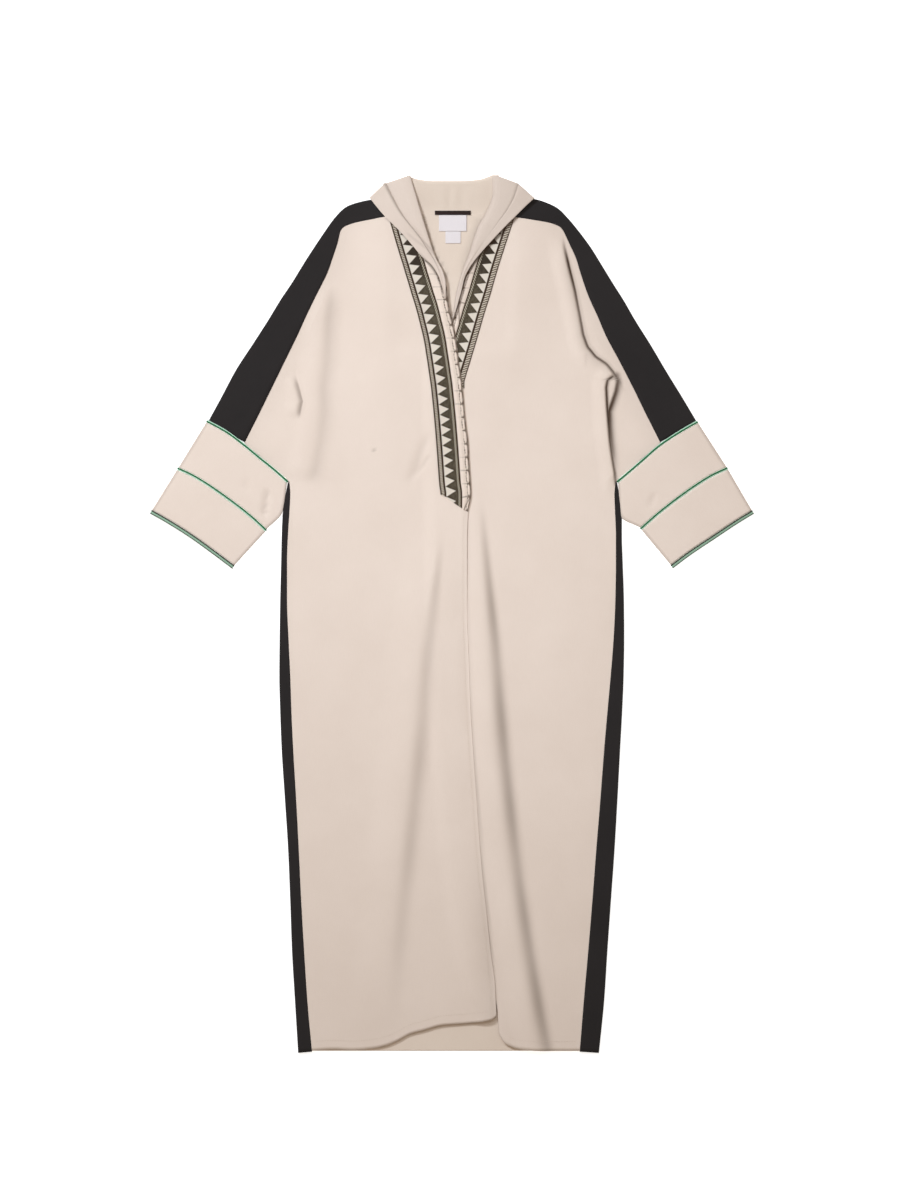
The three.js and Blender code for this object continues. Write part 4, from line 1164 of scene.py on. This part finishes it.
def woven_material(name, marks, apex, lean, hood_shadow_span):
    """Woven band of triangles between braids: U is the share of the trimmed width from its
    outer side, V the distance along it. marks are where its stripes end, apex where along a
    cream triangle's base its tip stands, low on the band and high on it. lean is how far the
    braids' strands lean. The last argument is where along the band the dark triangles start
    to turn near black: painted shadow where the band runs beside and under the hood's edges.
    """
    shader = Shader(name, roughness=0.85, sheen=0.15)
    uv = shader.coordinates("UV")
    u, v, _ = shader.split(uv)
    cream, light = linear(229, 219, 206), linear(212, 200, 184)
    dark, outline = linear(68, 60, 46), linear(56, 38, 24)
    grey = linear(88, 74, 58)
    edge, braid, bar, zone, strand, line = marks
    fray = shader.fibres(uv, 55, 1500, 2.0)
    turn = 1 - (v / PATTERN).fract()
    across = (u - bar) / ((zone - bar) * 0.8)
    high = v.smooth_step(0.15, 0.33)
    tip = high * (apex[1] - apex[0]) + apex[0]
    inside = (turn - across * tip).least(1 - across * (1 - tip) - turn) + (fray - 0.5) * 0.08
    triangle = inside.smooth_step(-0.035, 0.035)
    rim = inside.smooth_step(-0.16, -0.02)
    clouds = shader.fibres(uv, 14, 120, 2.0)
    ground = shader.mix(clouds.smooth_step(0.35, 0.65), dark, linear(86, 77, 62))
    # Painted shadow: past the given span the dark triangles turn near black, beside and under the
    # hood's edges.
    ground = shader.mix(v.smooth_step(*hood_shadow_span) * 0.8, ground, linear(34, 22, 14))
    colour = shader.mix(triangle, shader.mix(rim * 0.85, ground, outline), cream)

    def twist(lean, pitch):
        return ((v / pitch + u * lean) * math.tau).sine() * 0.5 + 0.5

    def stripe(base, low, high, over):
        return shader.mix(between(u, low, high, 0.006), base, over)

    twisted = shader.mix(twist(lean, 0.0044).smooth_step(0.4, 0.6), grey, light)
    dotted = shader.mix(twist(0, 0.0036).smooth_step(0.55, 0.8), outline, grey)
    colour = stripe(colour, -0.2, edge, dotted)
    colour = stripe(colour, edge, braid, twisted)
    colour = stripe(colour, braid, bar, outline)
    knots = shader.mix(twist(-18, 0.0046).smooth_step(0.3, 0.7), grey, linear(188, 180, 162))
    colour = stripe(colour, zone, strand, knots)
    colour = stripe(colour, strand, line, shader.mix(twist(0, 0.0036) * 0.4, outline, grey))
    ribs = (v * (math.tau / 0.0011)).sine() * 0.5 + 0.5
    shade = fray.smooth_step(0.3, 0.8) * 0.12
    worn = shader.mix(shade, colour, linear(120, 110, 94))
    shader.give("Base Color", shader.shaded(worn))
    shader.bump(ribs * 0.5 + fray * 0.7, 0.0003, 0.6)
    return shader.material


def stitched_material(name, tack):
    """Cream edge band with a dark line of stitches and tacks; painted shade on its turned edge
    and corner folds.
    """
    shader = Shader(name, roughness=0.88, sheen=0.2)
    uv = shader.coordinates("UV")
    u, v, _ = shader.split(uv)
    cream, shade = linear(242, 226, 213), linear(230, 212, 198)
    thread = linear(84, 63, 46)
    grain = shader.fibres(uv, 60, 1100, 3.0)
    waver = (shader.fibres(uv, 0.001, 110, 2.0) - 0.5) * 0.06
    side = u + waver
    stitches = between((v / 0.0048).fract(), 0.2, 0.85, 0.1) * 0.5 + 0.5
    fade = shader.fibres(uv, 2, 70, 2.0).smooth_step(0.35, 0.6)
    at = (v / tack).fract()
    pinch = 1 - (at * math.pi).sine().smooth_step(0.0, 0.7)
    pulled = side - pinch * 0.03
    line = between(pulled, 0.856, 0.89, 0.009) * stitches * (fade * 0.7 + 0.3)
    strong = between(at, 0.94, 1.5, 0.03).most(between(at, -0.5, 0.04, 0.03))
    tacks = strong * between(side, 0.865, 0.98, 0.012)
    faint = strong * between(u, 0.70, 0.86, 0.01) * fade * 0.4
    # Painted shadow: a dark line along the band's turned front edge.
    hem = between(u + pinch * 0.035, 0.955, 1.5, 0.01) * (fade * 0.3 + 0.7)
    low = 1 - v.smooth_step(0.003, 0.005)
    # Painted shade: dark lines in the creases of the band's folded lower corner.
    fold = between((v - (u - 0.68) * 0.015) + 0.0014, -0.0009, 0.0009, 0.0006) * low
    corner = between((v - (u - 1) * 0.115) - 0.0034, -0.0035, 0.0035, 0.002) * low
    marks = line.most(tacks).most(faint).most(hem).most((fold.most(corner)) * 0.7)
    base = shader.mix(grain.smooth_step(0.3, 0.7), shade, cream)
    shader.give("Base Color", shader.shaded(shader.mix(marks * 0.9, base, thread)))
    shader.bump(grain - marks * 0.8, 0.0003, 0.6)
    return shader.material


# Where the stripes end across each band: edge, braid, bar, triangles, braid, line; then
# apex, lean, and where the painted shadow under the hood starts on the dark triangles.
WOVEN_LEFT = woven_material("woven band left", (0.048, 0.125, 0.185, 0.56, 0.625, 0.7),
                            (0.42, 0.14), 8, (0.365, 0.405))
WOVEN_RIGHT = woven_material("woven band right", (0.03, 0.15, 0.215, 0.57, 0.635, 0.7),
                             (0.1, 0.1), 5, (0.03, 0.085))
STITCHED = {key: stitched_material(f"stitched edge {key}", distance * MM)
            for key, distance in TACKS.items()}
THREAD = piping_material("cream thread", linear(232, 216, 203), linear(222, 205, 191))
TAPE_BLACK = cloth_material("black tape", linear(46, 31, 27), linear(36, 23, 20),
                            thread=0.0009, rough=0.8, sheen=0.1)
LABEL_WHITE = cloth_material("white label", linear(237, 230, 232), linear(228, 221, 223),
                             thread=0.0005, rough=0.75, sheen=0.1)


# ---- Sewing ----
def stitch_row(name, route, surface, material, length=3.2, gap=1.2, thick=0.35):
    """A row of small raised stitches along a route, lying on the given surface."""
    run = math.fsum(math.dist(a, b) for a, b in zip(route, route[1:]))
    places = curve(route, int(run / (length + gap)) * 2 + 1)[::2]
    bm = bmesh.new()
    for (ax, ay), (bx, by) in zip(places, places[1:]):
        x, y = (ax + bx) / 2, (ay + by) / 2
        z = float(surface(np.array([x]), np.array([y]))[0]) + thick * 0.4
        turn = Matrix.Rotation(math.atan2(by - ay, bx - ax), 4, "Z")
        size = Matrix.Diagonal((length / 2, thick, thick * 0.8, 1))
        place = Matrix.Translation((x, y, z)) @ turn @ size
        bmesh.ops.create_icosphere(bm, subdivisions=1, radius=1,
                                   matrix=Matrix.Scale(MM, 4) @ place)
    piece = finish_mesh(name, bm, material)


def hem_route(hem, left, right, above):
    return [(x, float(hem(x)) + above) for x in np.linspace(left, right, 24)]


def edge_route(edge, high, low, inside):
    return [(float(edge(y)) + inside, y) for y in np.linspace(high, low, 30)]


def sew():
    rows = {
        "stitches_hem_overlap": (hem_route(overlap_hem, -232, 62, 16), overlap_surface),
        "stitches_hem_underlap": (hem_route(lower_hem, 96, 210, 16), lower_surface),
        "stitches_edge_overlap": (edge_route(overlap_edge, 168, -660, -7), overlap_surface),
    }
    for name, (route, surface) in rows.items():
        stitch_row(name, route, surface, THREAD)
    flat = {"stitches_tape": (-28, 29, 681.2, 9.9), "stitches_label": (-21.5, 22.5, 678.2, 9.2)}
    for name, (left, right, level, z) in flat.items():
        stitch_row(name, [(left, level), (0, level), (right, level)],
                   lambda x, y, z=z: x * 0 + z, TAPE_BLACK if "tape" in name else THREAD,
                   length=2.0, gap=1.0, thick=0.25)


# ---- Making everything ----
def strip_lines(side):
    seam, fold = (SEAM_LEFT, FOLD_LEFT) if side == "left" else (SEAM_RIGHT, FOLD_RIGHT)
    return [(x, y) for y, x in seam], fold


def panel_lines(side):
    seam, fold = (2, 1) if side == "left" else (3, 4)
    seam, fold = ([(row[column], row[0]) for row in SIDES] for column in (seam, fold))
    seam[-1] = (seam[-1][0], seam[-1][1] - PANEL_DROP[0])
    fold[-1] = (fold[-1][0], fold[-1][1] - PANEL_DROP[1])
    return seam, fold


make_back()
fold_line = guide(LONG_FOLD, [(98, 677), (60, 400), (46, 230)], [(162, -741)])
armhole_line = guide(ARMHOLE, [(103, 677), (126, 673), (158, 667), (173, 660)],
                     [(277, 404), (266, 398), (262.5, 386), (263, 356), (265.5, 325), (268, 294),
                      (272.2, 262), (272.5, 224), (273, 200), (258, -165), (210, -741)])
make_front("front_underlap", [lower_edge, fold_line, armhole_line, seam_right],
           lower_surface, lower_hem, [28, 62, 40], beside_edge)
left_fold = guide(OVERLAP_FOLD, [(-98, 677), (-30, 300), (-16, 160)], [(-104, -741)])
sleeve_line = guide([(-269, 411), (-261.6, 386.5), (-255.4, 363), (-258.5, 348), (-260, 331)],
                    [(-112, 677), (-134, 673), (-160, 667), (-176, 660), (-181, 654),
                     (-187, 631), (-194, 607), (-201, 584), (-217, 543), (-243, 475)],
                    [(-262, 300), (-269, 224), (-270, 0), (-238, -741)])
make_front("front_overlap", [seam_left, sleeve_line, left_fold, overlap_edge],
           lambda x, y: tail_under(x, y, overlap_surface), overlap_hem, [22, 66, 36], on_edge)
for side_name in ("left", "right"):
    strip_seam, strip_fold = strip_lines(side_name)
    make_folded_strip(f"shoulder_strip_{side_name}", strip_seam, strip_fold, 120)
    strip_seam, strip_fold = panel_lines(side_name)
    make_folded_strip(f"side_panel_{side_name}", strip_seam, strip_fold, 180)
    make_cuffs(side_name)
    for seam_name in ("top", "middle", "hem"):
        make_piping(side_name, seam_name)
make_bands()
make_hood_turn("hood_turn_left", HOOD_LEFT, SECTION_LEFT, ROLL_LEFT, (0.36, 0.06, 0.05), 0.8,
               0.8, 0.12)
make_hood_turn("hood_turn_right", HOOD_RIGHT, SECTION_RIGHT, ROLL_RIGHT, (0.3, 0.04, 0.04), 0.42,
               0.10, 0.17, RIGHT_GROOVE)
make_neck_stand()
make_hood_fall()
make_patch("neck_tape", -30, 31, 679.8, 686.8, 9.9, TAPE_BLACK, 0.9)
make_patch("neck_label", -23, 24, 652, 679.4, 9.2, LABEL_WHITE, 0.5, wave=0.6)
make_patch("size_tab", -12, 14, 631.5, 651.6, 9.1, LABEL_WHITE, 0.5, wave=0.4)
sew()


# ---- Floor and light ----
def area_light(name, at, size, power):
    light = bpy.data.lights.new(name, "AREA")
    light.shape = "DISK"
    light.size = size
    light.energy = power
    light.color = LIGHT_COLOUR
    lamp = bpy.data.objects.new(name, light)
    lamp.location = at
    toward = Vector((0, 0, 0)) - Vector(at)
    lamp.rotation_euler = toward.to_track_quat("-Z", "Y").to_euler()
    bpy.context.scene.collection.objects.link(lamp)


def make_floor():
    bm = bmesh.new()
    bmesh.ops.create_grid(bm, x_segments=1, y_segments=1, size=FLOOR_HALF)
    mesh = bpy.data.meshes.new("floor")
    bmesh.ops.translate(bm, verts=bm.verts, vec=(0, 0, FLOOR_LEVEL))
    bm.to_mesh(mesh)
    bm.free()
    floor = bpy.data.objects.new("floor", mesh)
    bpy.context.scene.collection.objects.link(floor)
    paper = Shader("pale floor", roughness=0.95, sheen=0.0)
    paper.give("Base Color", FLOOR_COLOUR)
    paper.give("Emission Color", (1, 1, 1, 1))
    paper.give("Emission Strength", FLOOR_GLOW)
    mesh.materials.append(paper.material)


make_floor()
area_light("key", *KEY_LIGHT)
area_light("overhead", *OVERHEAD_LIGHT)
world = bpy.data.worlds.new("soft room")
world.use_nodes = True
world.node_tree.nodes["Background"].inputs[0].default_value = ROOM_COLOUR
world.node_tree.nodes["Background"].inputs[1].default_value = 1.0
bpy.context.scene.world = world
bpy.context.scene.view_settings.view_transform = "Standard"
